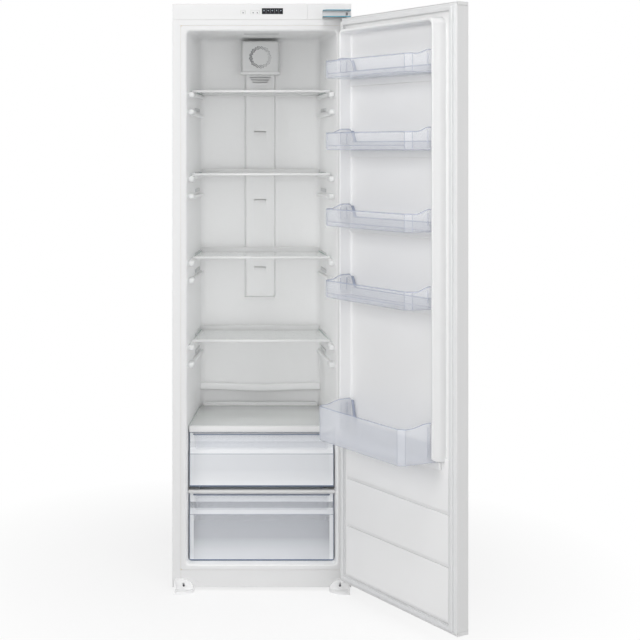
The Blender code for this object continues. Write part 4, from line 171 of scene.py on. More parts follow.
def rounded_rings(
    half: Array, low: Array, high: Array, low_round: Array, high_round: Array,
    steps: int = 6, between: int = 0,
) -> Array:
    """Rectangles with round corners, one a row.

    A corner's point is its centre plus the radius times (cos a, sin a), with a over a quarter
    turn, and straight sides are shared out evenly between the corners.

    Args:
        half: Half the width of each ring.
        low: Lower side of each ring.
        high: Upper side of each ring.
        low_round: Radius of the two lower corners.
        high_round: Radius of the two upper corners.
        steps: Parts of each corner's arc.
        between: Points added on each straight side.

    Returns:
        Points of shape (rings, points, 2).
    """
    rows = [np.atleast_1d(np.asarray(v, float)) for v in (half, low, high, low_round, high_round)]
    half, low, high, low_round, high_round = np.broadcast_arrays(*rows)
    turn = np.linspace(0.0, math.pi / 2, steps + 1)
    angle = turn[None, :] + np.arange(4)[:, None] * math.pi / 2
    side = np.array([1.0, -1.0, -1.0, 1.0])[None, :, None]
    upper = np.array([True, True, False, False])[None, :, None]
    radius = np.where(upper, high_round[:, None, None], low_round[:, None, None])
    x = side * (half[:, None, None] - radius) + radius * np.cos(angle)
    base = np.where(upper, high[:, None, None] - radius, low[:, None, None] + radius)
    corners = np.stack([x, base + radius * np.sin(angle)], -1)
    if between:
        share = np.linspace(0.0, 1.0, between + 2)[1:-1, None]
        start = corners[:, :, -1:, :]
        stop = np.roll(corners, -1, axis=1)[:, :, :1, :]
        corners = np.concatenate([corners, start * (1 - share) + stop * share], axis=2)
    return corners.reshape(len(half), -1, 2)


def rounded_box(low: Place, high: Place, radius: float, steps: int = 3) -> Array:
    """Box with round edges: the core's corner plus the radius times a unit sphere's normal.

    Args:
        low: Lowest corner.
        high: Highest corner.
        radius: Radius of every edge.
        steps: Parts of each quarter turn.

    Returns:
        Rings of shape (rings, points, 3), from the bottom up.
    """
    low, high = np.array(low, float), np.array(high, float)
    centre, half = (low + high) / 2, np.abs(high - low) / 2
    radius = min(radius, 0.999 * half.min())
    turn = np.linspace(0.0, math.pi / 2, steps + 1)
    around = (turn[None, :] + np.arange(4)[:, None] * math.pi / 2).ravel()
    rise = np.concatenate([turn - math.pi / 2, turn])[:, None]
    side = np.repeat([(1.0, -1.0, -1.0, 1.0), (1.0, 1.0, -1.0, -1.0)], steps + 1, axis=1)
    up = np.repeat([-1.0, 1.0], steps + 1)[:, None]
    normal = joined(np.cos(rise) * np.cos(around), np.cos(rise) * np.sin(around), np.sin(rise))
    return centre + joined(side[0], side[1], up) * (half - radius) + radius * normal


def lathe(profile: Sequence[Span], centre: Place, axis: int, sides: int) -> Array:
    """Profile turned about an axis: each point gives a circle of its radius at its height.

    Args:
        profile: Pairs of radius and place along the axis.
        centre: Point on the axis.
        axis: Index of the axis: 0, 1 or 2.
        sides: Points round the circle.

    Returns:
        Rings of shape (profile points, sides, 3).
    """
    radius, place = np.array(profile, float).T
    angle = np.linspace(0.0, math.tau, sides, endpoint=False)
    one, two = [i for i in range(3) if i != axis]
    ring = np.zeros((len(radius), sides, 3))
    ring[..., one] = np.outer(radius, np.cos(angle))
    ring[..., two] = np.outer(radius, np.sin(angle))
    ring[..., axis] = place[:, None]
    return ring + np.array(centre, float)


def bent(points: Sequence[tuple[float, float, float]], reach: float, steps: int = 8) -> Array:
    """A line of straight stretches joined by arcs.

    With S and E at the reach before and behind a corner P, and w the cosine of half its turn,
    the arc is (S (1-t)^2 + 2 w P t (1-t) + E t^2) over the same sum of the weights alone.

    Args:
        points: Ends and corners.
        reach: Distance from a corner at which its arc starts and ends.
        steps: Parts of each arc.

    Returns:
        Points of shape (n, 3).
    """
    corner = np.array(points, float)
    along = np.diff(corner, axis=0)
    along /= np.linalg.norm(along, axis=1, keepdims=True)
    before, after, middle = along[:-1], along[1:], corner[1:-1]
    weight = np.sqrt((1.0 + (before * after).sum(1)) / 2.0)[:, None, None]
    t = np.linspace(0.0, 1.0, steps + 1)[None, :, None]
    first, last = (1 - t) ** 2, t ** 2
    pull = 2.0 * weight * t * (1 - t)
    arc = (first * (middle - reach * before)[:, None] + pull * middle[:, None]
           + last * (middle + reach * after)[:, None]) / (first + pull + last)
    return np.concatenate([corner[:1], arc.reshape(-1, 3), corner[-1:]])


def tube(path: Array, radius: float, sides: int) -> Array:
    """Round tube along a path: circles at right angles to the path's mean direction.

    The circles start from the cross product with the axis or diagonal that the path keeps
    furthest away from, so that they never twist.

    Args:
        path: Points of shape (n, 3).
        radius: The tube's radius.
        sides: Points round the tube.

    Returns:
        Rings of shape (n, sides, 3).
    """
    along = np.gradient(path, axis=0)
    along /= np.linalg.norm(along, axis=1, keepdims=True)
    diagonals = np.array([(1, 1, 1), (1, 1, -1), (1, -1, 1), (-1, 1, 1)]) / math.sqrt(3.0)
    choices = np.vstack([np.eye(3), diagonals])
    least = choices[np.argmin(np.abs(along @ choices.T).max(0))]
    first = np.cross(along, least)
    first /= np.linalg.norm(first, axis=1, keepdims=True)
    second = np.cross(along, first)
    angle = np.linspace(0.0, math.tau, sides, endpoint=False)[None, :, None]
    circle = np.cos(angle) * first[:, None, :] + np.sin(angle) * second[:, None, :]
    return path[:, None, :] + radius * circle


class Surface:
    """Bands of points that are joined into one mesh of closed shells."""

    def __init__(self) -> None:
        """Start with no points."""
        self.points: list[Array] = []
        self.marks: dict[str, list[Array]] = {"edge": [], "haze": []}
        self.faces: list[list[int]] = []
        self.count = 0

    def band(
        self,
        rings: Array,
        looped: bool = False,
        edge: Union[float, Array] = 0.0,
        haze: Union[float, Array] = 0.0,
    ) -> "Surface":
        """Join rings into a tube, which is capped at both ends or looped on itself.

        Args:
            rings: Points of shape (rings, points, 3).
            looped: Join the last ring to the first in place of the caps.
            edge: How much each ring or point takes the finish's edge colour, from 0 to 1: a tinted edge, or
                painted light and shade.
            haze: How milky each ring or point is, from 0 to 1; on the drawers it also paints light and shade.

        Returns:
            The surface itself.
        """
        rows, columns = rings.shape[:2]
        index = self.count + np.arange(rows * columns).reshape(rows, columns)
        if looped:
            index = np.vstack([index, index[:1]])
        right = np.roll(index, -1, axis=1)
        quads = np.stack([index[:-1], right[:-1], right[1:], index[1:]], -1)
        self.faces += quads.reshape(-1, 4).tolist()
        if not looped:
            self.faces += [index[0, ::-1].tolist(), index[-1].tolist()]
        for name, mark in (("edge", edge), ("haze", haze)):
            mark = np.asarray(mark, float)
            mark = mark[:, None] if mark.ndim == 1 else mark
            self.marks[name].append(np.broadcast_to(mark, (rows, columns)).ravel())
        self.points.append(rings.reshape(-1, 3))
        self.count += rows * columns
        return self

    def box(
        self,
        low: Place,
        high: Place,
        radius: float,
        steps: int = 3,
        frame: Callable[[Array], Array] = cabinet_frame,
        **marks: float,
    ) -> "Surface":
        """Add a box with round edges, given in the cabinet's or the door's own measures."""
        return self.band(frame(rounded_box(low, high, radius, steps)), **marks)

    def turned(self, profile: Sequence[Span], centre: Place, axis: int, sides: int) -> "Surface":
        """Add a profile turned about an axis, given in the cabinet's own measures."""
        return self.band(cabinet_frame(lathe(profile, centre, axis, sides)))

    def tube(self, path: Array, radius: float, sides: int) -> "Surface":
        """Add a round tube along a path, given in the cabinet's own measures."""
        return self.band(cabinet_frame(tube(path, radius, sides)))

    def mesh(self, name: str, sharp: float) -> bpy.types.Mesh:
        """Put the points into a mesh, merge its seams and turn its faces outwards.

        Args:
            name: The mesh's name.
            sharp: Angle in degrees above which an edge stays sharp.

        Returns:
            The mesh.
        """
        mesh = bpy.data.meshes.new(name)
        mesh.from_pydata(np.concatenate(self.points).tolist(), [], self.faces)
        for mark, values in self.marks.items():
            layer = mesh.attributes.new(mark, "FLOAT", "POINT")
            layer.data.foreach_set("value", np.concatenate(values).astype(np.float32))
        tidy_mesh(mesh, sharp)
        return mesh

    def show(
        self, name: str, finish: "Finish", body: str = "cabinet", *replaced: str, sharp: float = 35.0
    ) -> bpy.types.Object:
        """Show the mesh as a piece that rides on a CAD body and stands for CAD nodes."""
        return show(name, self.mesh(name, sharp), finish, body, replaced)


def tidy_mesh(mesh: bpy.types.Mesh, sharp: float, flat: bool = False) -> None:
    """Merge a mesh's seams, turn its faces outwards and smooth it between its sharp edges.

    Args:
        mesh: The mesh.
        sharp: Angle in degrees above which an edge stays sharp.
        flat: Join flat neighbours first, as a bevel needs.
    """
    work = bmesh.new()
    work.from_mesh(mesh)
    bmesh.ops.remove_doubles(work, verts=work.verts, dist=1e-6)
    if flat:
        bmesh.ops.dissolve_limit(
            work, angle_limit=math.radians(0.3), verts=work.verts, edges=work.edges
        )
    bmesh.ops.recalc_face_normals(work, faces=work.faces)
    work.to_mesh(mesh)
    work.free()
    mesh.polygons.foreach_set("use_smooth", [True] * len(mesh.polygons))
    mesh.set_sharp_from_angle(angle=math.radians(sharp))


# Shader trees

class Socket:
    """A shader tree's output socket with Python's operators, each of which adds a Math node."""

    def __init__(self, tree: "Tree", socket: bpy.types.NodeSocket) -> None:
        """Hold a tree and one of its outputs."""
        self.tree = tree
        self.socket = socket

    def apply(self, operation: str, *values: Number) -> "Socket":
        """Add a Math node of an operation on these values and give its result."""
        node = self.tree.add("ShaderNodeMath", {"operation": operation}, dict(enumerate(values)))
        return Socket(self.tree, node.outputs[0])

    def __add__(self, other: Number) -> "Socket":
        """Sum."""
        return self.apply("ADD", self, other)

    __radd__ = __add__

    def __mul__(self, other: Number) -> "Socket":
        """Product."""
        return self.apply("MULTIPLY", self, other)

    __rmul__ = __mul__

    def __sub__(self, other: Number) -> "Socket":
        """Difference."""
        return self.apply("SUBTRACT", self, other)

    def __rsub__(self, other: Number) -> "Socket":
        """Difference from a number."""
        return self.apply("SUBTRACT", other, self)

    def __truediv__(self, other: Number) -> "Socket":
        """Quotient."""
        return self.apply("DIVIDE", self, other)

    def __pow__(self, other: Number) -> "Socket":
        """Power."""
        return self.apply("POWER", self, other)

    def length(self) -> "Socket":
        """The length of a vector."""
        node = self.tree.add("ShaderNodeVectorMath", {"operation": "LENGTH"}, {0: self})
        return Socket(self.tree, node.outputs["Value"])

    def clamp(self) -> "Socket":
        """The value, held between 0 and 1."""
        return self.apply("MAXIMUM", self.apply("MINIMUM", self, 1.0), 0.0)


class Tree:
    """A node tree that is written as expressions."""

    def __init__(self, owner: Union[bpy.types.Material, bpy.types.World]) -> None:
        """Empty the owner's node tree and hold it.

        Args:
            owner: The material or world.
        """
        owner.use_nodes = True
        self.nodes = owner.node_tree.nodes
        self.links = owner.node_tree.links
        self.nodes.clear()

    def add(self, kind: str, settings: dict | None = None, inputs: dict | None = None) -> bpy.types.Node:
        """Add a node, set its settings first, and then give its sockets their values or links.

        Args:
            kind: The node's type.
            settings: Attributes of the node by name; "stops" are a ramp's places and colours.
            inputs: Values, or sockets to link, by input name or index.

        Returns:
            The node.
        """
        node = self.nodes.new(kind)
        for name, value in (settings or {}).items():
            if name == "stops":
                ramp = node.color_ramp.elements
                while len(ramp) < len(value):
                    ramp.new(1.0)
                for stop, (place, colour) in zip(ramp, value):
                    stop.position = place
                    stop.color = (*colour, 1.0)
            else:
                setattr(node, name, value)
        for name, value in (inputs or {}).items():
            if isinstance(value, Socket):
                self.links.new(value.socket, node.inputs[name])
            elif isinstance(value, bpy.types.NodeSocket):
                self.links.new(value, node.inputs[name])
            else:
                node.inputs[name].default_value = value
        return node

    def value(
        self, kind: str, settings: dict | None = None, inputs: dict | None = None, output: Union[str, int] = 0
    ) -> Socket:
        """Add a node and wrap one of its outputs."""
        return Socket(self, self.add(kind, settings, inputs).outputs[output])

    def place(self, stretch: Colour = (1.0, 1.0, 1.0)) -> Socket:
        """Object coordinates, stretched along the axes."""
        point = self.value("ShaderNodeTexCoord", output="Object")
        return self.value("ShaderNodeMapping", inputs={"Vector": point, "Scale": stretch})

    def noise(self, point: Socket, scale: float, detail: float = 2.0) -> Socket:
        """Noise from 0 to 1 with features of one over the scale, in metres."""
        inputs = {"Vector": point, "Scale": scale, "Detail": detail}
        return self.value("ShaderNodeTexNoise", inputs=inputs)

    def blend(self, share: Number, first: Union[Socket, Colour], second: Union[Socket, Colour]) -> Socket:
        """Mix two colours.

        Args:
            share: How much of the second.
            first: A colour or the socket of one.
            second: Another.

        Returns:
            The mixed colour.
        """
        colours = [v if isinstance(v, Socket) else (*v, 1.0) for v in (first, second)]
        inputs = {0: share, 6: colours[0], 7: colours[1]}
        return self.value("ShaderNodeMix", {"data_type": "RGBA"}, inputs, 2)


class Grain(Enum):
    """Kinds of fine relief on a surface."""

    ORANGE_PEEL = "orange peel"
    FINE = "fine grain"
    BRUSHED = "brushed"
    SPANGLE = "spangle"
    CELLS = "cells"
    RIBS = "ribs"
    TRACES = "traces"


@dataclass(frozen=True)
class Finish:
    """A surface finish: a plain colour with mottle, uneven gloss and a fine relief."""

    name: str
    slot: str
    colour: Colour
    roughness: float
    metallic: float = 0.0
    grain: Grain = Grain.FINE
    scale: float = 900.0
    relief: float = 0.05
    mottle: float = 0.03
    shade: Colour = (0.0, 0.0, 0.0)
    uneven: float = 0.06
    stretch: Colour = (1.0, 1.0, 1.0)
    coat: float = 0.0
    transmission: float = 0.0
    ior: float = 1.5
    alpha: float = 1.0
    # Colour that marked points take: a tint on glass, clear plastic and the hinge; painted shade on the
    # door's inner side; the liner's frame beside its painted-light walls.
    edge: Colour | None = None
    edge_alpha: float = 0.0
    rim_alpha: float = 0.0
    milk: Colour = (1.0, 1.0, 1.0)
    milk_alpha: float = 0.0
    glow: float = 0.0

    def pattern(self, tree: Tree) -> Socket:
        """The relief's height, from 0 to 1, over the surface.

        Args:
            tree: The material's tree.

        Returns:
            The height.
        """
        point = tree.place(self.stretch)
        if self.grain in (Grain.SPANGLE, Grain.CELLS):
            feature = "F1" if self.grain is Grain.CELLS else "SMOOTH_F1"
            inputs = {"Vector": point, "Scale": self.scale}
            return tree.value("ShaderNodeTexVoronoi", {"feature": feature}, inputs)
        if self.grain is Grain.RIBS:
            inputs = {"Vector": point, "Scale": self.scale}
            return tree.value("ShaderNodeTexWave", {"bands_direction": "X"}, inputs, "Fac")
        if self.grain is Grain.TRACES:
            inputs = {"Vector": point, "Scale": self.scale, "Mortar Size": GROOVE_WIDTH}
            return tree.value("ShaderNodeTexBrick", {}, inputs, "Fac")
        detail = 1.0 if self.grain is Grain.ORANGE_PEEL else 4.0
        return tree.noise(point, self.scale, detail)

    def material(self) -> bpy.types.Material:
        """The finish's material, made once.

        The colour is mixed with its shade by slow noise times the mottle, the gloss varies by
        the same noise, and the relief feeds a Bump node.

        Returns:
            The material.
        """
        name = f"{self.name}_finish"
        if name in bpy.data.materials:
            return bpy.data.materials[name]
        material = bpy.data.materials.new(name)
        tree = Tree(material)
        height = self.pattern(tree)
        slow = tree.noise(tree.place(), CLOUD_SCALE, CLOUD_DETAIL)
        share = (slow * CLOUD_SHARE + height * (1 - CLOUD_SHARE)) * (2 * self.mottle)
        colour = tree.blend(share.clamp(), self.colour, self.shade)
        inputs = {
            "Roughness": (slow - 0.5) * (2 * self.uneven) + self.roughness,
            "Metallic": self.metallic,
            "Coat Weight": self.coat,
            "Transmission Weight": self.transmission,
            "IOR": self.ior,
        }
        # Marked points take the edge colour and haze adds milk; on the door, the liner and the drawers these
        # paint light and shade.
        if self.edge is not None:
            rim = tree.value("ShaderNodeAttribute", {"attribute_name": "edge"}, output="Fac")
            colour = tree.blend(rim.clamp(), colour, self.edge)
            if self.alpha < 1.0:
                facing = tree.value("ShaderNodeLayerWeight", inputs={"Blend": FACING_BLEND}, output="Facing")
                haze = tree.value("ShaderNodeAttribute", {"attribute_name": "haze"}, output="Fac")
                colour = tree.blend(haze.clamp(), colour, self.milk)
                veil = self.alpha + facing ** 2.0 * self.rim_alpha + rim * self.edge_alpha
                inputs["Alpha"] = (veil + haze * self.milk_alpha).clamp()
        inputs["Base Color"] = colour
        if self.relief:
            strength = {"Strength": 1.0, "Distance": self.relief * RELIEF_UNIT, "Height": height}
            inputs["Normal"] = tree.value("ShaderNodeBump", inputs=strength)
        if self.glow:
            inputs["Emission Color"] = (*self.colour, 1.0)
            inputs["Emission Strength"] = self.glow
        shader = tree.value("ShaderNodeBsdfPrincipled", inputs=inputs)
        tree.add("ShaderNodeOutputMaterial", inputs={"Surface": shader})
        return material


# Finishes

SHELL_PAINT = Finish(
    "shell_paint", "white_steel", (0.77, 0.77, 0.77), 0.38, grain=Grain.ORANGE_PEEL, scale=420.0,
    relief=0.05, mottle=0.02, shade=(0.66, 0.66, 0.66))
MOULDED_WHITE = Finish(
    "moulded_white", "white_plastic", (0.775, 0.775, 0.775), 0.36, scale=1500.0, relief=0.02,
    mottle=0.03, shade=(0.68, 0.68, 0.68))
# The liner's colour is painted light, lighter than its frame's edge colour, to brighten the compartment's
# inside.
LINER_WHITE = Finish(
    "liner_white", "liner_plastic", (0.955, 0.957, 0.957), 0.40, grain=Grain.ORANGE_PEEL, scale=160.0,
    relief=0.04, mottle=0.02, shade=(0.88, 0.885, 0.89), edge=(0.77, 0.77, 0.77))
# Its edge colour is painted shade on the door's inner side: half the rim, the grooves and the ridges.
DOOR_WHITE = replace(
    LINER_WHITE, name="door_white", colour=(0.92, 0.92, 0.92), shade=(0.78, 0.78, 0.78),
    edge=(0.66, 0.665, 0.67))
GALVANISED = Finish(
    "galvanised_sheet", "zinc", (0.62, 0.66, 0.70), 0.32, 1.0, Grain.SPANGLE, 90.0, 0.01, 0.25,
    (0.40, 0.46, 0.52), 0.10)
HINGE_STEEL = Finish(
    "hinge_steel", "zinc", (0.40, 0.41, 0.42), 0.30, 1.0, Grain.BRUSHED, 700.0, 0.02, 0.15,
    (0.34, 0.36, 0.38), 0.08, stretch=(0.05, 1.0, 1.0), edge=(0.06, 0.24, 0.32))
FOAM = Finish(
    "insulation_foam", "insulation_foam", (0.80, 0.70, 0.46), 0.9, 0.0, Grain.CELLS, 320.0, 0.6, 0.20,
    (0.60, 0.48, 0.26))
BLACK_GLASS = Finish(
    "display_glass", "dark_display", (0.015, 0.016, 0.02), 0.38, scale=2500.0, relief=0.0, mottle=0.1,
    ior=1.25)
DISPLAY_LIGHT = Finish(
    "display_light", "dark_display", (0.62, 0.70, 0.78), 0.4, relief=0.0, glow=0.10)
BOARD_GREEN = Finish(
    "circuit_board", "circuit_board", (0.03, 0.20, 0.09), 0.42, 0.0, Grain.TRACES, 90.0, 0.05, 0.9,
    (0.30, 0.42, 0.16), coat=0.3)
FROSTED_LENS = Finish(
    "frosted_lens", "lamp_lens", (0.92, 0.93, 0.93), 0.35, 0.0, Grain.RIBS, 140.0, 0.15, 0.05,
    (0.8, 0.82, 0.84), transmission=0.35)
PLATE_GLASS = Finish(
    "plate_glass", "shelf_glass", (0.90, 0.94, 0.92), 0.04, scale=30.0, relief=0.0, mottle=0.02,
    shade=(0.84, 0.92, 0.89), uneven=0.01, alpha=0.13, edge=(0.52, 0.70, 0.64), edge_alpha=0.6,
    rim_alpha=0.10)
CLEAR_BLUE = Finish(
    "clear_plastic", "clear_plastic", (0.92, 0.94, 1.0), 0.10, scale=60.0, relief=0.02, mottle=0.04,
    shade=(0.87, 0.90, 0.97), uneven=0.02, alpha=0.13, edge=(0.38, 0.43, 0.56), edge_alpha=0.42,
    rim_alpha=0.10, milk=(0.90, 0.92, 0.95), milk_alpha=0.40)
DRAWER_CLEAR = replace(
    CLEAR_BLUE, name="drawer_plastic", colour=(0.90, 0.93, 0.99), shade=(0.86, 0.89, 0.96), alpha=0.11,
    edge=(0.16, 0.21, 0.31), edge_alpha=0.70, rim_alpha=0.15, milk=(0.965, 0.98, 1.0), milk_alpha=0.72)
COVER_GLASS = Finish(
    "cover_glass", "shelf_glass", (0.93, 0.95, 0.94), 0.16, scale=30.0, relief=0.0, mottle=0.03,
    shade=(0.78, 0.82, 0.80), uneven=0.03, transmission=0.35, edge=(0.50, 0.70, 0.63))
ENAMEL_BLACK = Finish(
    "black_enamel", "black_enamel", (0.022, 0.022, 0.024), 0.34, 0.0, Grain.ORANGE_PEEL, 500.0, 0.06,
    0.2, (0.07, 0.07, 0.075), 0.1)
COPPER = Finish(
    "drawn_copper", "copper", (0.72, 0.40, 0.25), 0.28, 1.0, Grain.BRUSHED, 500.0, 0.02, 0.5,
    (0.34, 0.17, 0.10), 0.12)
DARK_PLASTIC = Finish(
    "grey_plastic", "grey_plastic", (0.26, 0.27, 0.28), 0.5, scale=1200.0, relief=0.05, mottle=0.1,
    shade=(0.16, 0.165, 0.17))
SEAL_WHITE = Finish(
    "seal_rubber", "seal_rubber", (0.79, 0.795, 0.80), 0.55, scale=1800.0, relief=0.05, mottle=0.08,
    shade=(0.60, 0.61, 0.62))
# Painted light: the feet take a lighter copy of the moulded white, as they stand in the cabinet's shadow.
FOOT_PAINTED_LIGHT = replace(
    MOULDED_WHITE, name="foot_painted_light", colour=(0.93, 0.93, 0.93), shade=(0.84, 0.84, 0.84))
DIVIDER_WHITE = replace(MOULDED_WHITE, name="divider_white", colour=(0.71, 0.71, 0.71))
# Painted shade: the fan cover takes a darker copy of the liner white, for the shadow over it.
FAN_PAINTED_SHADE = replace(
    LINER_WHITE, name="fan_painted_shade", colour=(0.82, 0.825, 0.825), shade=(0.74, 0.745, 0.75))
STOP_WHITE = replace(
    MOULDED_WHITE, name="stop_white", slot="liner_plastic", colour=(0.82, 0.825, 0.825),
    shade=(0.74, 0.745, 0.75))
# Painted shade: grey tabs behind the ledges stand for the rear of each ledge in shade.
TAB_PAINTED_SHADE = replace(
    MOULDED_WHITE, name="tab_painted_shade", slot="grey_plastic", colour=(0.62, 0.625, 0.63),
    shade=(0.34, 0.345, 0.35))
SCREW_DARK = replace(
    HINGE_STEEL, name="screw_dark", colour=(0.10, 0.10, 0.11), shade=(0.06, 0.06, 0.065), edge=None)
PRINT_GREY = Finish("printed_marks", "liner_plastic", (0.20, 0.20, 0.21), 0.5, relief=0.0)


# Putting pieces in the scene

def show(
    name: str, mesh: bpy.types.Mesh, finish: Finish, body: str, replaced: Iterable[str] = ()
) -> bpy.types.Object:
    """Link a mesh as a piece that rides on a CAD body.

    Args:
        name: The piece's name.
        mesh: Its mesh, in the row frame.
        finish: Its finish.
        body: The CAD body that it moves with.
        replaced: The CAD nodes that it stands for.

    Returns:
        The object.
    """
    mesh.materials.clear()
    mesh.materials.append(finish.material())
    piece = bpy.data.objects.new(name, mesh)
    bpy.context.scene.collection.objects.link(piece)
    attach(piece, body)
    if replaced:
        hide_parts(*replaced)
    LOG.info("%s: %d faces on %s", name, len(mesh.polygons), body)
    return piece


def softened(frame: dict, node: str, finish: Finish, width: float, sharp: float = 40.0) -> None:
    """Show a copy of a CAD node with its sharp edges bevelled.

    Args:
        node: The CAD node.
        finish: The copy's finish.
        width: Width of the bevel, in metres.
        sharp: Angle in degrees above which an edge is bevelled.
    """
    source = frame["nodes"][node]
    mesh = source.data.copy()
    custom = mesh.attributes.get("custom_normal")
    if custom:
        mesh.attributes.remove(custom)
    tidy_mesh(mesh, sharp, flat=True)
    piece = show(f"{node}_soft", mesh, finish, source["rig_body"], (node,))
    bevel = piece.modifiers.new("soft_edges", "BEVEL")
    bevel.width = width
    bevel.segments = 2
    bevel.limit_method = "ANGLE"
    bevel.angle_limit = math.radians(sharp)
    bevel.harden_normals = True


def dress(frame: dict, finish: Finish, nodes: Iterable[str]) -> None:
    """Give CAD nodes that stay shown a finish.

    Args:
        finish: The finish.
        nodes: The nodes' names.
    """
    for node in nodes:
        for slot in frame["nodes"][node].material_slots:
            slot.material = finish.material()
        LOG.info("%s: CAD node with %s", node, finish.name)


# The cabinet

@dataclass(frozen=True)
class Lump:
    """A round-edged block on the compartment's wall."""

    height: float
    reach: float
    radius: float
    steps: int = 3

    def on_wall(self, side: int, top: float, span: Span) -> Array:
        """The block's rings, whose reach is measured inwards from the tapering wall.

        Args:
            side: Which wall, -1 or 1.
            top: Height of its top.
            span: Where it starts and ends in depth.

        Returns:
            Rings of points.
        """
        low, high = (-SINK, span[0], top - self.height), (self.reach, span[1], top)
        inward, depth, height = np.moveaxis(rounded_box(low, high, self.radius, self.steps), -1, 0)
        return cabinet_frame(joined(side * (wall_half(depth) - inward), depth, height))


@dataclass
class FoodCompartment:
    """The thermoformed liner of the cabinet with its ledges and its defrost gutter."""

    frame_half: float = 0.2441
    frame_low: float = 0.0518
    frame_high: float = 1.6941
    frame_corner: float = 0.006
    frame_edge: float = 0.0006
    lip_round: float = 0.006
    lip_painted_light_fade: tuple[float, ...] = (1.0, 1.0, 0.8, 0.4, 0.0)
    corner: float = 0.012
    back_round: float = 0.018
    hump_foot: float = 0.014
    hump_round: float = 0.012
    floor_stations: Span = (0.10, 0.20)
    hump_stations: Span = (0.30, 0.35)
    ledge: Lump = Lump(0.011, 0.012, 0.0035)
    ledge_steps: Span = (0.0078, 0.0693)
    shelf_span: Span = (0.100, 0.384)
    crisper_span: Span = (0.058, 0.361)
    crisper_step: float = 0.0053
    divider_span: Span = (0.058, 0.238)
    stop: Lump = Lump(0.0165, 0.0165, 0.00585, 5)
    stop_steps: Span = (0.0085, 0.0615)
    stop_span: Span = (0.050, 0.103)
    tab: Lump = Lump(0.012, 0.0040, 0.0054, 5)
    tab_up: float = 0.0105
    tab_span: Span = (0.235, 0.345)
    gutter_top: float = 0.549
    gutter_sag: float = 0.006
    gutter_height: float = 0.024
    gutter_reach: float = 0.018
    gutter_belly: float = 0.006
    gutter_brim: float = 0.003
    gutter_lean: float = 0.002
    trough: Span = (0.008, -0.010)

    def bucket(self, grow: float) -> Array:
        """One side of the liner's wall, from the front to the back.

        Each row gives depth, half width, low, high and corner radius. The lip turns through
        sine and cosine from the frame plane into the wall, the floor climbs the hump through
        two quarter arcs, and the back wall closes through one more.

        Args:
            grow: How far the side lies outside the compartment's faces.

        Returns:
            Rows of shape (n, 5).
        """
        sine, cosine = quarter(6)
        lip, foot, crown, back = self.lip_round, self.hump_foot, self.hump_round, self.back_round
        hump, top, low = HUMP_FRONT - grow, HUMP_TOP - grow, FLOOR - grow
        turned = back * (1 - cosine)
        depth = np.concatenate([
            lip * (1 - cosine), self.floor_stations, hump - foot + foot * sine,
            hump + crown * (1 - cosine), self.hump_stations, CAVITY_DEPTH + grow - back + back * sine])
        floor = np.concatenate([
            low - lip * (1 - sine), [low] * 2, low + foot * (1 - cosine), top - crown * (1 - sine),
            [top] * 2, top + turned])
        inset = np.concatenate([-lip * (1 - sine), np.zeros(len(depth) - 2 * len(sine)), turned])
        half = wall_half(depth) + grow - inset
        high = ceiling_at(depth) + grow - inset
        return np.stack([depth, half, floor, high, np.full(len(depth), self.corner)], -1)

    def shell(self) -> tuple[Array, Array]:
        """The whole wall as one row of rings: up the outer side, round the frame, down the inner.

        Returns:
            The rings and how far each takes the frame's darker colour; the lighter walls inside are painted
            light.
        """
        inner, outer = self.bucket(0.0), self.bucket(LINER_WALL)
        outer = outer[outer[:, 0] > LINER_WALL]
        half, low, high, e = self.frame_half, self.frame_low, self.frame_high, self.frame_edge
        frame = np.array([
            (LINER_WALL, *outer[0, 1:4], self.corner),
            (LINER_WALL, half, low, high, self.frame_corner),
            (e, half, low, high, self.frame_corner),
            (0.0, half - e, low + e, high - e, self.frame_corner)])
        rows = np.concatenate([outer[::-1], frame, inner])
        rest = len(inner) - len(self.lip_painted_light_fade)
        # Painted light: the frame and the lip's first rings keep the darker edge colour, and the walls inside
        # fade to the lighter liner colour.
        edge = np.concatenate([np.zeros(len(outer)), np.ones(len(frame)), self.lip_painted_light_fade, np.zeros(rest)])
        depth, half, low, high, corner = rows.T
        flat = rounded_rings(half, low, high, corner, corner)
        return cabinet_frame(joined(flat[..., 0], depth[:, None], flat[..., 1])), edge

    def gutter(self) -> Array:
        """The gutter's profile carried across the back wall, sagging as a cosine to its drain.

        Returns:
            Rings of points.
        """
        reach, belly, brim = self.gutter_reach, self.gutter_belly, self.gutter_brim
        sine, cosine = quarter(4)
        out = np.concatenate([
            [-SINK], reach - belly + belly * sine, reach - brim + brim * cosine,
            reach - brim - self.gutter_lean * (1 + sine), [self.trough[0], -SINK]])
        down = np.concatenate([
            [-self.gutter_height], belly * (1 - cosine) - self.gutter_height, brim * (sine - 1),
            brim * (cosine - 1), [self.trough[1]] * 2])
        across = np.linspace(-1.0, 1.0, 41)[:, None] * (wall_half(CAVITY_DEPTH) + SINK / 2)
        sag = self.gutter_sag * (0.5 + 0.5 * np.cos(math.pi * across / across[-1]))
        return cabinet_frame(joined(across, CAVITY_DEPTH - out, self.gutter_top + down - sag))

    def build(self) -> None:
        """Show the liner, and the stops and the tabs beside its ledges, whose grey is painted shade."""
        rings, edge = self.shell()
        liner = Surface().band(rings, edge=edge).band(self.gutter())
        stops, tabs = Surface(), Surface()
        for side in (-1, 1):
            for top in SHELF_TOPS:
                for step in self.ledge_steps:
                    liner.band(self.ledge.on_wall(side, top - step, self.shelf_span))
                for step in self.stop_steps:
                    stops.band(self.stop.on_wall(side, top - step, self.stop_span))
                    # Grey tabs higher up and deeper in: painted shade.
                    tabs.band(self.tab.on_wall(side, top - step + self.tab_up, self.tab_span))
            liner.band(self.ledge.on_wall(side, CRISPER_TOP - self.crisper_step, self.crisper_span))
            liner.band(self.ledge.on_wall(side, HUMP_TOP, self.divider_span))
        liner.show("liner", LINER_WHITE, "cabinet", "inner_liner")
        stops.show("ledge_stops", STOP_WHITE)
        tabs.show("ledge_tabs_painted_shade", TAB_PAINTED_SHADE)


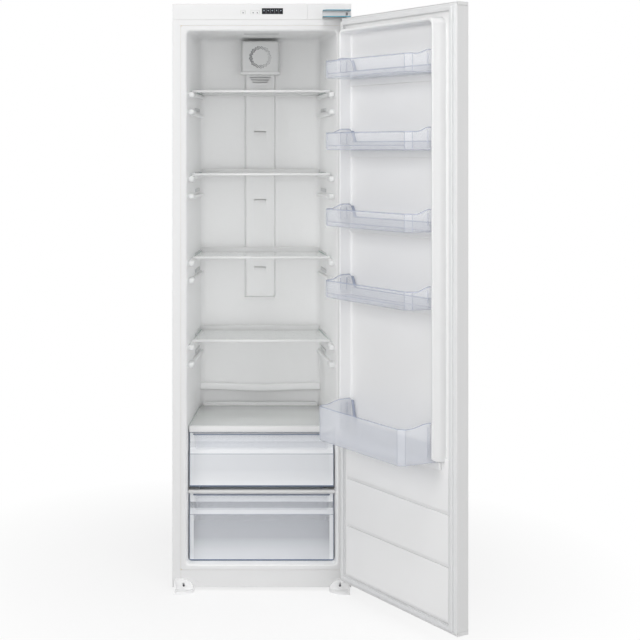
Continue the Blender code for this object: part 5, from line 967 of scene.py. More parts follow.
@dataclass
class GlassShelf:
    """A glass plate in a front trim and a raised rear trim."""

    name: str
    top: float
    front: float = 0.106
    rear: float = 0.387
    trim_height: float = 0.0075
    side_play: float = 0.0055
    rear_play: float = 0.0055
    pane: Finish = PLATE_GLASS
    trim_depth: float = 0.012
    trim_round: float = 0.0022
    grip: float = 0.007
    glass: float = 0.004
    glass_drop: float = 0.001
    glass_middle: float = 0.003
    tint_half: float = 0.0016
    glass_play: float = 0.0003
    glass_round: float = 0.0008
    rim: float = 0.02
    lip: float = 0.010

    def slab(self, depths: Span, heights: Span, play: float, radius: float) -> Array:
        """A round-edged slab whose width follows the compartment's walls.

        Args:
            depths: Front and rear.
            heights: Low and top.
            play: Distance to each wall.
            radius: Radius of its edges.

        Returns:
            Rings of points.
        """
        box = rounded_box((-1.0, depths[0], heights[0]), (1.0, depths[1], heights[1]), radius)
        span = wall_half(box[..., 1]) - play
        box[..., 0] = np.sign(box[..., 0]) * (span - (1.0 - np.abs(box[..., 0])))
        return cabinet_frame(box)

    def plate(self) -> Surface:
        """The glass, tinted round the middle of its rim.

        Returns:
            The surface.
        """
        high = self.top - self.glass_drop
        depths = (self.front + self.trim_depth - self.grip, self.rear - self.trim_depth + self.grip)
        play = self.side_play + self.glass_play
        rings = self.slab(depths, (high - self.glass, high), play, self.glass_round)
        reach = np.abs(rings[..., :2] - np.array([0.0, rings[..., 1].mean()]))
        beside = reach[..., 0] > reach[..., 0].max() - self.rim
        before = reach[..., 1] > (depths[1] - depths[0]) / 2 - self.glass_drop
        middle = np.abs(rings[..., 2] - self.top + self.glass_middle) < self.tint_half
        return Surface().band(rings, edge=1.0 * (middle & (beside | before)))

    def build(self) -> None:
        """Show the glass and both trims."""
        self.plate().show(f"{self.name}_plate", self.pane, self.name, f"{self.name}_glass")
        rear = self.rear - self.trim_depth
        ends = (("front", self.front, 0.0, self.side_play), ("rear", rear, self.lip, self.rear_play))
        for end, start, lip, play in ends:
            depths = (start, start + self.trim_depth)
            heights = (self.top - self.trim_height, self.top + lip)
            bar = Surface().band(self.slab(depths, heights, play, self.trim_round))
            bar.show(f"{self.name}_{end}_bar", MOULDED_WHITE, self.name, f"{self.name}_{end}_trim")


@dataclass(frozen=True)
class MilkAndPaintedLight:
    """How milky the zones of a drawer's face are, from the foot of the face to its lip; the zones are painted
    light and shade: lip and slope lighter against shadow, the lower drawer darker.
    """

    low: float = 0.90
    middle: float = 0.76
    high: float = 0.74
    slope: float = 1.0
    band: float = 0.72
    lip: float = 1.0


@dataclass
class Drawer:
    """A clear drawer: a face with a set-back top band and an open bin behind it."""

    name: str
    face_low: float
    face_top: float
    bin_low: float
    rear: float
    milk: MilkAndPaintedLight = MilkAndPaintedLight()
    runners: bool = False
    face_half: float = 0.220
    front: float = 0.040
    face: float = 0.003
    face_edge: float = 0.0006
    face_soft: float = 0.0007
    inner_drop: float = 0.0004
    band: float = 0.048
    slope: float = 0.016
    back_step: float = 0.010
    lip: float = 0.0295
    fade: float = 0.001
    foot_line: float = 0.0040
    zones: Span = (0.22, 0.50)
    crease: Span = (0.0020, 0.0045)
    bend: tuple[float, float, float] = (0.0004, 0.0005, 0.0015)
    top_line: Span = (0.0030, 0.0040)
    end_strip: float = 0.013
    end_fade: float = 0.003
    end_shrink: float = 0.75
    end_shares: tuple[float, ...] = (0.9900, 0.9930, 0.9986, 1.0)
    end_marks: tuple[float, ...] = (0.0, 0.0, 0.0, 0.9, 1.0, 1.0)
    end_haze: tuple[float, ...] = (0.0, 0.8, 0.8, 0.0, 0.0, 0.0)
    side_play: float = 0.0175
    draft: float = 0.006
    wall: float = 0.0025
    bottom_round: float = 0.007
    floor_round: float = 0.006
    bin_gap: float = 0.002
    bin_corners: Span = (0.008, 0.014)
    bead: float = 0.003
    bead_top: float = 0.0005
    bead_root: float = 0.004
    inner_root: float = 0.006
    rim_drop: float = 0.006
    nominal_half: float = 0.2
    floor_milk: float = 0.004
    side_milk: float = 0.4
    side_fade: Span = (0.006, 0.02)
    grip: Span = (0.002, 0.006)
    grip_inset: float = 0.004
    grip_height: float = 0.025
    runner: Span = (0.183, 0.188)
    runner_front: float = 0.060
    runner_back: float = 0.02
    runner_drop: float = 0.0092
    edge_round: float = 0.001

    def face_profile(self) -> tuple[Array, Array, Array]:
        """The outer side of the face, from its foot up.

        Returns:
            Points of depth and height, how dark each is, and how milky it is.
        """
        low, top, e, milk = self.face_low, self.face_top, self.face_edge, self.milk
        sill, back, knee = self.front, self.front + self.back_step, top - self.band
        high = knee - self.slope
        # The milky zones are painted light and shade over the face's clear plastic.
        rows = np.array([
            (sill, low + e, 1.0, 0.0),
            (sill, low + self.foot_line, 1.0, 0.0),
            (sill, low + self.foot_line + self.fade, 0.2, milk.low),
            (sill, low + self.zones[0] * (high - low), 0.0, milk.low),
            (sill, low + self.zones[1] * (high - low), 0.0, milk.middle),
            (sill, high - self.crease[1], 0.0, milk.high),
            (sill, high - self.crease[0], 0.5, milk.high),
            (sill + self.bend[0], high, 0.0, milk.slope),
            (back - self.bend[1], knee - self.bend[2], 0.0, milk.slope),
            (back, knee, 0.0, milk.band),
            (back, top - self.lip - self.fade, 0.0, milk.band),
            (back, top - self.lip, 0.0, milk.lip),
            (back, top - self.top_line[1], 0.0, milk.lip),
            (back, top - self.top_line[0], 0.8, 0.0),
            (back, top - e, 0.8, 0.0)])
        return rows[:, :2], rows[:, 2], rows[:, 3]

    def face_rings(self) -> tuple[Array, Array, Array]:
        """The face's profile carried across, with round ends.

        Returns:
            The rings, how much each point lies on an edge, and how milky it is.
        """
        low, top, t, e = self.face_low, self.face_top, self.face, self.face_edge
        sill, back, soft = self.front, self.front + self.back_step, self.face_soft
        outer, dark, milky = self.face_profile()
        inner = outer[::-1] + np.array([t, -self.inner_drop])
        inner[0, 1], inner[-1, 1] = top - e, low + e
        crown = [(back + soft, top), (back + t - soft, top)]
        foot = [(sill + t - soft, low), (sill + soft, low)]
        profile = np.concatenate([outer, crown, inner, foot])
        strip = 1.0 - self.end_strip / self.face_half
        half = [strip - self.end_fade, strip, *self.end_shares]
        side = mirrored(half) * self.face_half
        side[:len(half)] *= -1
        shrink = mirrored([1.0] * (len(half) - 1) + [self.end_shrink])
        core = np.interp(profile[:, 1], outer[:, 1], outer[:, 0]) + t / 2
        rings = joined(side, core + (profile[:, 0] - core) * shrink, profile[:, 1])
        edge = np.concatenate([dark, [0.8, 0.8], dark[::-1], [1.0, 1.0]])
        edge = np.maximum(edge, mirrored(self.end_marks))
        below = profile[:, 1] < top - self.band - self.slope
        haze = np.concatenate([milky, [0.0, 0.0], milky[::-1], [0.0, 0.0]])
        haze = np.maximum(haze, mirrored(self.end_haze) * below)
        return cabinet_frame(rings), edge, haze * (edge < 0.5)

    def bin_rings(self) -> tuple[Array, Array, Array]:
        """The bin as rings from its underside, up the outer wall, over the rim and down inside.

        The half width shrinks by the draft towards the floor, and follows the walls' taper.
        The floor is milky, and so, less, are the sides and the rear; this milkiness paints light into the bin
        seen through the face.

        Returns:
            The rings, how much each lies on an edge, and how milky it is.
        """
        sine, cosine = quarter(4)
        low, rim, wall, bead = self.bin_low, self.face_top - self.rim_drop, self.wall, self.bead
        r, floor, inside, crest = self.bottom_round, low + wall, self.floor_round, self.bead_top
        inset = np.concatenate([
            r * (1 - sine), [0.0, -bead, -bead, 0.0, wall, wall], wall + inside * (1 - cosine)])
        below = np.array([self.bead_root, bead, crest, 0.0, crest, self.inner_root])
        height = np.concatenate([
            low + r * (1 - cosine), rim - below, floor + inside * (1 - sine)])[:, None]
        edge = np.concatenate([0.5 * cosine, [0.1, 0.8, 1.0, 1.0, 0.8, 0.0], np.full(len(sine), 0.1)])
        inset += self.draft * (1 - (height[:, 0] - low) / (rim - low))
        front, nominal = self.front + self.face + self.bin_gap, self.nominal_half
        flat = rounded_rings(nominal - inset, front + inset, self.rear - inset, *self.bin_corners, steps=5)
        across, depth = flat[..., 0], flat[..., 1]
        across = across + np.sign(across) * (wall_half(depth) - self.side_play - nominal)
        start, fade = self.side_fade
        milky = self.side_milk * ease((depth - front - start) / fade)
        haze = np.where(height < floor + self.floor_milk, 1.0, milky)
        return cabinet_frame(joined(across, depth, height)), edge[:, None], haze

    def build(self) -> None:
        """Show the drawer as one moulding, with the grip behind its face and any runners."""
        surface = Surface()
        for rings, edge, haze in (self.face_rings(), self.bin_rings()):
            surface.band(rings, edge=edge, haze=haze)
        half, back = self.face_half - self.grip_inset, self.front + self.back_step
        high, (start, stop), soft = self.face_top - SINK, self.grip, self.edge_round
        low = high - self.grip_height
        surface.box((-half, back + start, low), (half, back + stop, high), soft, haze=1.0)
        if self.runners:
            for side in (-1, 1):
                near, far = sorted(side * x for x in self.runner)
                surface.box((near, self.runner_front, self.bin_low - self.runner_drop),
                            (far, self.rear - self.runner_back, self.bin_low + SINK), soft, edge=0.6)
        surface.show(f"{self.name}_clear", DRAWER_CLEAR, self.name, self.name)


# The door

@dataclass
class DoorInside:
    """The thermoformed inner side of the door with its inverted-U rim, and the seal round it."""

    flange_half: float = 0.2637
    flange: Span = (0.0330, 1.7094)
    flange_under: float = 0.0018
    flange_round: float = 0.0008
    rim_half: float = 0.2205
    rim_low: float = 0.4830
    rim_high: float = 1.6740
    rim_rise: float = 0.044
    rim_band: float = 0.0100
    rim_round: float = 0.0035
    rim_corner: float = 0.020
    # Painted shade on the free-side half of the rim.
    rim_painted_shade: float = 0.35
    cove: float = 0.003
    cove_middle: Span = (0.0008, 0.0006)
    cove_foot: float = 0.0003
    corner_gap: float = 0.002
    draft: float = 0.0015
    fillet: float = 0.006
    end_round: float = 0.014
    under: float = 0.0015
    panel_rise: float = 0.005
    panel_round: float = 0.0025
    panel_play: float = 0.003
    panel_lift: float = 0.004
    plateau_half: float = 0.235
    plateau_low: float = 0.060
    plateau_high: float = 0.4930
    plateau_rise: float = 0.004
    plateau_round: float = 0.0012
    groove_depth: float = 0.0038
    groove_half: float = 0.0045
    groove_inset: float = 0.002
    groove_round: float = 0.001
    grooves: Span = (0.348, 0.208)
    ridge_drop: float = 0.0003
    ridge_height: float = 0.020
    ridge_rise: float = 0.012
    door_play: float = 0.002
    seal_inset: float = 0.024
    seal_base: float = 0.019
    seal_bulb: float = 0.013
    seal_corner: float = 0.001
    seal_front: tuple[Span, ...] = ((0.0, 0.0003), (0.0, 0.0026), (0.0006, 0.0032))
    seal_fold: tuple[Span, ...] = (
        (0.0022, 0.0034), (0.0034, 0.0046), (0.0016, 0.0058), (0.0012, 0.0066), (0.0008, 0.0100),
        (0.0014, 0.0113), (0.0028, 0.0117))
    seal_back: tuple[Span, ...] = ((0.004, 0.0030), (0.0006, 0.0016), (0.0, 0.0008), (0.0, 0.0003))

    def profile(self) -> tuple[Array, Array]:
        """Section across the rim: offsets inwards from its outer foot, and rises.

        A small cove meets the flange, two quarter arcs turn over the crest, and a third, hollow
        one runs out into the panel.

        Returns:
            Offsets and rises.
        """
        sine, cosine = quarter(5)
        r, rise, band, foot = self.rim_round, self.rim_rise, self.rim_band, self.fillet
        cove, (near, low) = self.cove, self.cove_middle
        inner = band + self.draft
        offset = np.concatenate([
            [-cove, -cove, -near, 0.0], self.draft + r * (1 - cosine), band - r + r * sine,
            inner + foot * (1 - cosine), [inner + foot]])
        up = np.concatenate([
            [-self.under, -self.cove_foot, low, cove], rise - r + r * sine, rise - r + r * cosine,
            self.panel_rise + foot * (1 - sine), [-self.under]])
        return offset, up

    def rim(self) -> Array:
        """The section carried up one side, round two corner arcs and down the other side.

        Each station has a foot point and a direction inwards. At both lower ends the rise is
        multiplied by the sine of an angle whose cosine moves the station along.

        Returns:
            Rings of points.
        """
        offset, up = self.profile()
        corner, half, high = self.rim_corner, self.rim_half, self.rim_high
        turn = np.linspace(0.0, math.pi / 2, 9)
        ends = self.rim_low + self.end_round * (1 - np.cos(turn))
        sides = np.append(ends, high - corner - self.corner_gap)
        left = np.stack([np.full(len(sides), -half), sides], -1)
        arc = np.stack([-np.cos(turn), np.sin(turn)], -1)
        foot = np.concatenate([left, np.array([corner - half, high - corner]) + corner * arc])
        inward = np.concatenate([np.broadcast_to([1.0, 0.0], left.shape), -arc])
        size = np.concatenate([np.sin(turn), np.ones(1 + len(arc))])
        foot, inward = (np.concatenate([rows, rows[::-1] * [-1, 1]]) for rows in (foot, inward))
        size = np.concatenate([size, size[::-1]])[:, None]
        flat = foot[:, None, :] + offset[None, :, None] * inward[:, None, :]
        return door_frame(joined(flat[..., 0], np.where(up > 0, up * size, up), flat[..., 1]))

    def slab(
        self, surface: Surface, half: float, low: float, high: float, rise: float, radius: float,
        under: float = SINK, shade: float = 0.0, start: float = -1.0, fall: float = 1.0,
    ) -> None:
        """Add a round-edged slab on the door's inner plane, with painted shade on its sides below a start.

        Args:
            surface: What it is added to.
            half: Half its width.
            low: Its lower side.
            high: Its upper side.
            rise: How far it stands proud.
            radius: Radius of its edges.
            under: How far it reaches below the plane.
            shade: How dark its painted shade is.
            start: How far below its face the painted shade starts; all of it is painted dark at -1.
            fall: How much further down the painted shade is full.
        """
        rings = rounded_box((-half, -under, low), (half, rise, high), radius, 4)
        depth = np.clip((rise - start - rings[..., 1]) / fall, 0.0, 1.0)
        surface.band(door_frame(rings), edge=shade * depth)

    def seal(self) -> Array:
        """The seal's folded section carried round the door as mitred rectangles.

        Its bellows and bulb have the same side twice, once mirrored.

        Returns:
            Rings of points.
        """
        front, fold, back = (np.array(rows) for rows in (self.seal_front, self.seal_fold, self.seal_back))
        section = np.concatenate([
            front * [-1, 1], fold * [-1, 1], fold[::-1] - [self.seal_bulb, 0.0],
            back - [self.seal_base, 0.0]])
        across, rise = section.T
        inset, corner = self.seal_inset, self.seal_corner
        half = CASE_HALF - self.door_play - inset - across
        low, high = DOOR_LOW + inset + across, DOOR_TOP - inset - across
        flat = rounded_rings(half, low, high, corner, corner, steps=2)
        return door_frame(joined(flat[..., 0], rise[:, None], flat[..., 1]))

    def build(self) -> None:
        """Show the inner side and the seal, with painted shade on half the rim, the groove floors, the
        plateau's sides and the ridges.
        """
        rim = self.rim()
        # Painted shade: the free-side half of the rim takes the darker edge colour.
        surface = Surface().band(rim, edge=self.rim_painted_shade * (np.arange(len(rim)) < len(rim) / 2))
        play = self.rim_band + self.panel_play
        inner, low, high = self.rim_half - play, self.rim_low + self.panel_lift, self.rim_high - play
        self.slab(surface, self.flange_half, *self.flange, 0.0, self.flange_round, self.flange_under)
        self.slab(surface, inner, low, high, self.panel_rise, self.panel_round)
        inset, half, rise = self.groove_inset, self.plateau_half, self.plateau_rise
        low, high = self.plateau_low + inset, self.plateau_high - inset
        floor = rise - self.groove_depth
        # Painted shade on the groove floors.
        self.slab(surface, half - inset, low, high, floor, self.groove_round, shade=0.2)
        sides = [g + s * self.groove_half for g in self.grooves for s in (1, -1)]
        cuts = [self.plateau_high, *sides, self.plateau_low]
        # Painted shade on the plateau's sides, down into the grooves.
        for top, low in zip(cuts[::2], cuts[1::2]):
            self.slab(surface, half, low, top, rise, self.plateau_round,
                      shade=1.0, start=0.0006, fall=0.001)
        # Painted shade on each ridge's sides, below the balconies.
        for level in (*BALCONY_LEVELS, BOTTLE_LEVEL):
            low, top = level - self.ridge_drop - self.ridge_height, level - self.ridge_drop
            self.slab(surface, inner, low, top, self.ridge_rise, self.panel_round,
                      shade=0.7, start=0.001, fall=0.004)
        surface.show("door_inside", DOOR_WHITE, "door", "door_liner")
        seal = Surface().band(self.seal(), looped=True)
        seal.show("door_seal", SEAL_WHITE, "door", "door_gasket", sharp=50.0)


@dataclass
class Balcony:
    """A clear door balcony with chamfered corners and ends that rise towards the door."""

    name: str
    level: float
    reach: float = 0.112
    front_height: float = 0.051
    end_height: float = 0.063
    rear_height: float = 0.026
    back: float = 0.008
    half: float = 0.206
    taper: float = 0.007
    chamfer: float = 0.015
    corner_shrink: float = 0.4142
    wall: float = 0.0025
    bottom_round: float = 0.004
    floor_round: float = 0.003
    end_flat: float = 0.36
    end_rise: float = 0.86
    shoulder: float = 0.008
    notch_play: float = 0.002
    notch_reach: float = 0.005
    rim_soft: float = 0.0003
    rim_drops: tuple[float, ...] = (0.0045, 0.0012, 0.0004, 0.0, 0.0004, 0.0012, 0.0045)
    rim_marks: tuple[float, ...] = (0.05, 0.9, 1.0, 1.0, 1.0, 0.9, 0.05)
    foot_mark: float = 0.7
    floor_mark: float = 0.15
    back_corner: float = 0.0006
    bend_half: float = 0.0006
    bend_span: Span = (0.003, 0.002)
    milk: float = 0.12
    rib_half: float = 0.180
    rib: Span = (0.012, 0.0145)
    rib_sides: Span = (0.0012, 0.0004)
    rib_round: float = 0.0006
    pads: Span = (0.016, 0.038)
    pad_sink: float = 0.0006
    pad_top: float = 0.010
    pad_round: float = 0.0008
    pad_size: tuple[float, float, float] = (0.0022, 0.0025, 0.018)

    def rim_height(self, x: Array, rise: Array) -> Array:
        """Height of the rim: level along the front, a cosine rise along the ends, low behind.

        Args:
            x: Places across the door.
            rise: Distances from the door's inner plane.

        Returns:
            Heights above the balcony's underside.
        """
        share = (rise - self.back) / (self.reach - self.chamfer - self.back)
        climb = 1 - ease((share - self.end_flat) / (self.end_rise - self.end_flat))
        height = self.front_height + (self.end_height - self.front_height) * climb
        notch = self.half - self.wall - self.chamfer + self.notch_play
        near = np.clip(1.0 - (rise - self.back) / self.shoulder, 0.0, 1.0)
        height = height - self.shoulder * (1.0 - np.sqrt(1.0 - near * near))
        behind = (rise < self.back + self.notch_reach) & (np.abs(x) < notch)
        return np.where(behind, self.rear_height, height)

    def rings(self) -> tuple[Array, Array]:
        """The tray as rings: underside, outer wall, rounded rim, inner wall and floor.

        Returns:
            The rings and how much each lies on an edge.
        """
        sine, cosine = quarter(3)
        r, wall, hollow, soft = self.bottom_round, self.wall, self.floor_round, self.rim_soft
        inset = np.concatenate([
            r * (1 - sine), [0.0, 0.0, soft, wall / 2, wall - soft, wall, wall],
            wall + hollow * (1 - cosine)])
        below = np.array(self.rim_drops)[:, None]
        under = self.foot_mark * cosine + self.rim_marks[0]
        edge = np.concatenate([under, self.rim_marks, [self.floor_mark] * len(sine)])
        flat = rounded_rings(
            self.half - inset, self.back + inset, self.reach - inset, self.back_corner,
            self.chamfer - self.corner_shrink * inset, steps=1, between=28)
        narrow = self.taper * (flat[..., 1] - self.back) / (self.reach - self.back)
        x = flat[..., 0] * (1 - narrow / self.half)
        z = self.rim_height(x, flat[..., 1])
        first, last = len(sine), len(inset) - len(sine)
        z[:first] = r * (1 - cosine)[:, None]
        z[first:last] -= below
        z[last:] = wall + hollow * (1 - sine)[:, None]
        return door_frame(joined(x, flat[..., 1], self.level + z)), edge

    def corners(self) -> list[tuple[float, float, float]]:
        """The four vertical bends of the wall, where the plastic looks darker.

        Returns:
            For each bend its place across, its distance from the door and its height.
        """
        found = []
        for x, rise in ((self.half - self.chamfer, self.reach), (self.half, self.reach - self.chamfer)):
            x *= 1 - self.taper * (rise - self.back) / (self.reach - self.back) / self.half
            rise -= self.wall / 2
            height = float(self.rim_height(np.array(x), np.array(rise))) - self.bend_span[1]
            found += [(side * (x - self.wall / 2), rise, height) for side in (-1, 1)]
        return found

    def build(self) -> None:
        """Show the balcony with the rib inside its front, its hook pads and its bends."""
        rings, edge = self.rings()
        surface = Surface().band(rings, edge=edge, haze=self.milk * (1.0 - edge))
        front, low = self.reach - self.wall, self.level
        inner, outer = self.rib_sides
        surface.box((-self.rib_half, front - inner, low + self.rib[0]),
                    (self.rib_half, front + outer, low + self.rib[1]),
                    self.rib_round, 3, door_frame, edge=0.6)
        proud, width, foot = self.pad_size
        inside = self.half - self.wall
        for side in (-1, 1):
            for place in self.pads:
                near, far = sorted((side * (inside + self.pad_sink), side * (inside - proud)))
                surface.box((near, self.back + place, low + foot),
                            (far, self.back + place + width, low + self.end_height - self.pad_top),
                            self.pad_round, 3, door_frame, edge=0.5)
        thin = self.bend_half
        for x, rise, height in self.corners():
            surface.box((x - thin, rise - thin, low + self.bend_span[0]),
                        (x + thin, rise + thin, low + height), thin / 2, 2, door_frame, edge=0.9)
        surface.show(f"{self.name}_clear", CLEAR_BLUE, self.name, self.name, sharp=30.0)


# Hinge and controls

@dataclass
class TopHinge:
    """The channel-shaped bracket of the top hinge, with tinted edges, and a dark block in its slot that
    paints the hole's shade.
    """

    left: float = 0.1826
    right: float = 0.2660
    low: float = 1.7160
    top: float = 1.7380
    sheet: float = 0.0025
    reach: float = 0.042
    taper: float = 0.010
    soft: float = 0.0004
    near: float = 0.94
    slot: Span = (0.253, 0.260)
    slot_depth: Span = (-0.0031, -0.0012)
    slot_round: float = 0.0008
    proud: float = 0.0003

    def leg(self, high: float, low: float) -> list[tuple[float, float, float, float]]:
        """A leg's rows from its root along its upper side, round its front and back.

        Args:
            high: Height of its upper side.
            low: Height of its lower side.

        Returns:
            Rows as in channel.
        """
        e, near = self.soft, self.near
        return [(near, 0.0, 0.0, high), (1.0, 0.0, e, high), (1.0, 0.0, 0.0, high - e),
                (1.0, 0.0, 0.0, low + e), (1.0, 0.0, e, low), (near, 0.0, 0.0, low)]

    def channel(self) -> tuple[Array, Array]:
        """The C-shaped section carried across, with its reach growing over the left corner.

        Each row gives the share of the reach, the distance behind the front plane, how much
        the edge is rounded off, and the height.

        Returns:
            The rings and how much each point lies on an edge.
        """
        t, low, top, e = self.sheet, self.low, self.top, self.soft
        wide, reach = self.right - self.left, self.reach
        across = np.array([0.0, e, self.taper, wide - e, wide])[:, None]
        reach = np.array([reach - self.taper, reach - self.taper + e, reach, reach, reach - e])[:, None]
        squeeze = np.array([e, 0.0, 0.0, 0.0, e])[:, None]
        front, back, off, height = np.array([
            (0.0, e, 0.0, low), (0.0, 0.0, 0.0, low + e), (0.0, 0.0, 0.0, top - e),
            *self.leg(top, top - t), (0.0, t, 0.0, top - t), (0.0, t, 0.0, low + t),
            *self.leg(low + t, low), (0.0, e, 0.0, low)]).T
        depth = -self.proud - back - front * (reach - off)
        height = height - np.sign(height - (low + top) / 2) * squeeze
        edge = np.broadcast_to(1.0 * (front == 1.0), depth.shape)
        return cabinet_frame(joined(self.left + across, depth, height)), edge

    def build(self) -> None:
        """Show the bracket and a dark block in its slot, as painted shade in the hole."""
        rings, edge = self.channel()
        Surface().band(rings, edge=edge).show("hinge_channel", HINGE_STEEL, "cabinet", "top_hinge_bracket")
        # Painted shade: a dark block fills the slot where the hole is in shadow.
        low, high = self.low + 2 * self.sheet, self.top - 2 * self.sheet
        (left, right), (near, far) = self.slot, self.slot_depth
        slot = Surface().box((left, near, low), (right, far, high), self.slot_round)
        slot.show("hinge_slot", DARK_PLASTIC)


@dataclass
class Controls:
    """What is printed or lit on the fascia: a display of five fields, and marks on the buttons."""

    left: float = 0.0004
    right: float = 0.0638
    low: float = 1.7288
    top: float = 1.7463
    fields: int = 5
    bar: float = 0.0005
    margin: float = 0.0008
    marks: tuple[float, ...] = (-0.0566, -0.0262, -0.0134)
    mark_level: float = 1.7325
    mark_radius: float = 0.0019
    dash_half: float = 0.0018
    dash: Span = (0.0014, 0.0022)
    stroke_half: float = 0.0005
    stroke_height: float = 0.0036
    proud: float = 0.0002
    sunk: float = 0.0006
    edge_round: float = 0.0001

    def flat(self, surface: Surface, x: float, half: float, low: float, high: float) -> None:
        """Add a thin slab on the front plane, centred on x."""
        surface.box((x - half, -self.proud, low), (x + half, self.sunk, high), self.edge_round, 1)

    def build(self) -> None:
        """Show the bars between the fields, a lit mark in each field and the buttons' marks."""
        pitch = (self.right - self.left) / self.fields
        middle = (self.low + self.top) / 2
        bars, lights, marks = Surface(), Surface(), Surface()
        for number in range(1, self.fields):
            x = self.left + number * pitch
            self.flat(bars, x, self.bar, self.low + self.margin, self.top - self.margin)
        for number in range(self.fields):
            x = self.left + (number + 0.5) * pitch
            self.flat(lights, x, self.dash_half, middle + self.dash[0], middle + self.dash[1])
            self.flat(lights, x, self.stroke_half, middle, middle + self.stroke_height)
        front, r = -self.proud, self.mark_radius
        for x in self.marks:
            marks.turned([(0.0, front), (r, front), (r, 0.0), (0.0, 0.0)], (x, 0.0, self.mark_level), 1, 20)
        bars.show("display_bars", PRINT_GREY)
        lights.show("display_marks", DISPLAY_LIGHT)
        marks.show("button_marks", PRINT_GREY)


@dataclass
class FrontScrews:
    """Screw heads in both feet and plugs in the base panel's holes."""

    screw: tuple[float, float, float, float] = (0.2346, 0.0107, -0.0190, 0.0034)
    plug: tuple[float, float, float, float] = (0.195, 0.01717, 0.0006, 0.0024)
    recess: Span = (0.3, 0.0008)
    flat: tuple[Span, ...] = ((0.36, -0.0003), (0.8, -0.0002))
    brim: float = 0.0004
    root: float = 0.002

    def head(self, depth: float, radius: float) -> list[Span]:
        """Profile of a head: a recess, a flat rim and a rounded edge, as shares of its radius."""
        shares = [(0.0, self.recess[1]), self.recess, *self.flat, (1.0, self.brim), (1.0, self.root)]
        return [(share * radius, depth + down) for share, down in (*shares, (0.0, self.root))]

    def build(self) -> None:
        """Show the screws and the plugs, each at x, z and a depth, with a radius."""
        kinds = (("foot_screws", self.screw, SCREW_DARK), ("kick_plugs", self.plug, MOULDED_WHITE))
        for name, (x, z, depth, radius), finish in kinds:
            heads = Surface()
            for side in (-1, 1):
                heads.turned(self.head(depth, radius), (side * x, 0.0, z), 1, 20)
            heads.show(name, finish)


@dataclass
class FanCoverTrim:
    """The lip below the fan's cover and a plain printed ring of dots on its face."""

    half: float = 0.0635
    low: float = 1.5663
    height: float = 0.009
    front: float = 0.3440
    centre: float = 1.6225
    dots: int = 96
    ring: Span = (0.026, 0.036)
    dot: Span = (0.0012, 0.0023)
    dot_near: float = 0.0008
    dot_depth: float = 0.001
    lip_near: float = 0.002
    lip_round: float = 0.0022

    def spiral(self) -> Array:
        """Dots on a spiral of the golden angle between two radii, larger towards the left.

        Returns:
            Rows of x, z and radius.
        """
        number = np.arange(self.dots)
        angle = number * GOLDEN_ANGLE
        inner, outer = self.ring
        small, large = self.dot
        radius = np.sqrt(inner ** 2 + (outer ** 2 - inner ** 2) * (number + 0.5) / self.dots)
        size = small + (large - small) * (0.5 - 0.5 * np.cos(angle))
        return np.stack([radius * np.cos(angle), self.centre + radius * np.sin(angle), size], -1)

    def build(self) -> None:
        """Show the lip and the dots."""
        low = (-self.half, self.front - self.lip_near, self.low)
        high = (self.half, CAVITY_DEPTH - SINK, self.low + self.height)
        Surface().box(low, high, self.lip_round).show("fan_cover_lip", LINER_WHITE)
        dots = Surface()
        near = self.front + self.dot_near
        far = near + self.dot_depth
        for x, z, r in self.spiral():
            dots.turned([(0.0, near), (r, near), (r, far), (0.0, far)], (x, 0.0, z), 1, 10)
        dots.show("fan_cover_dots", PRINT_GREY)


# The cooling circuit

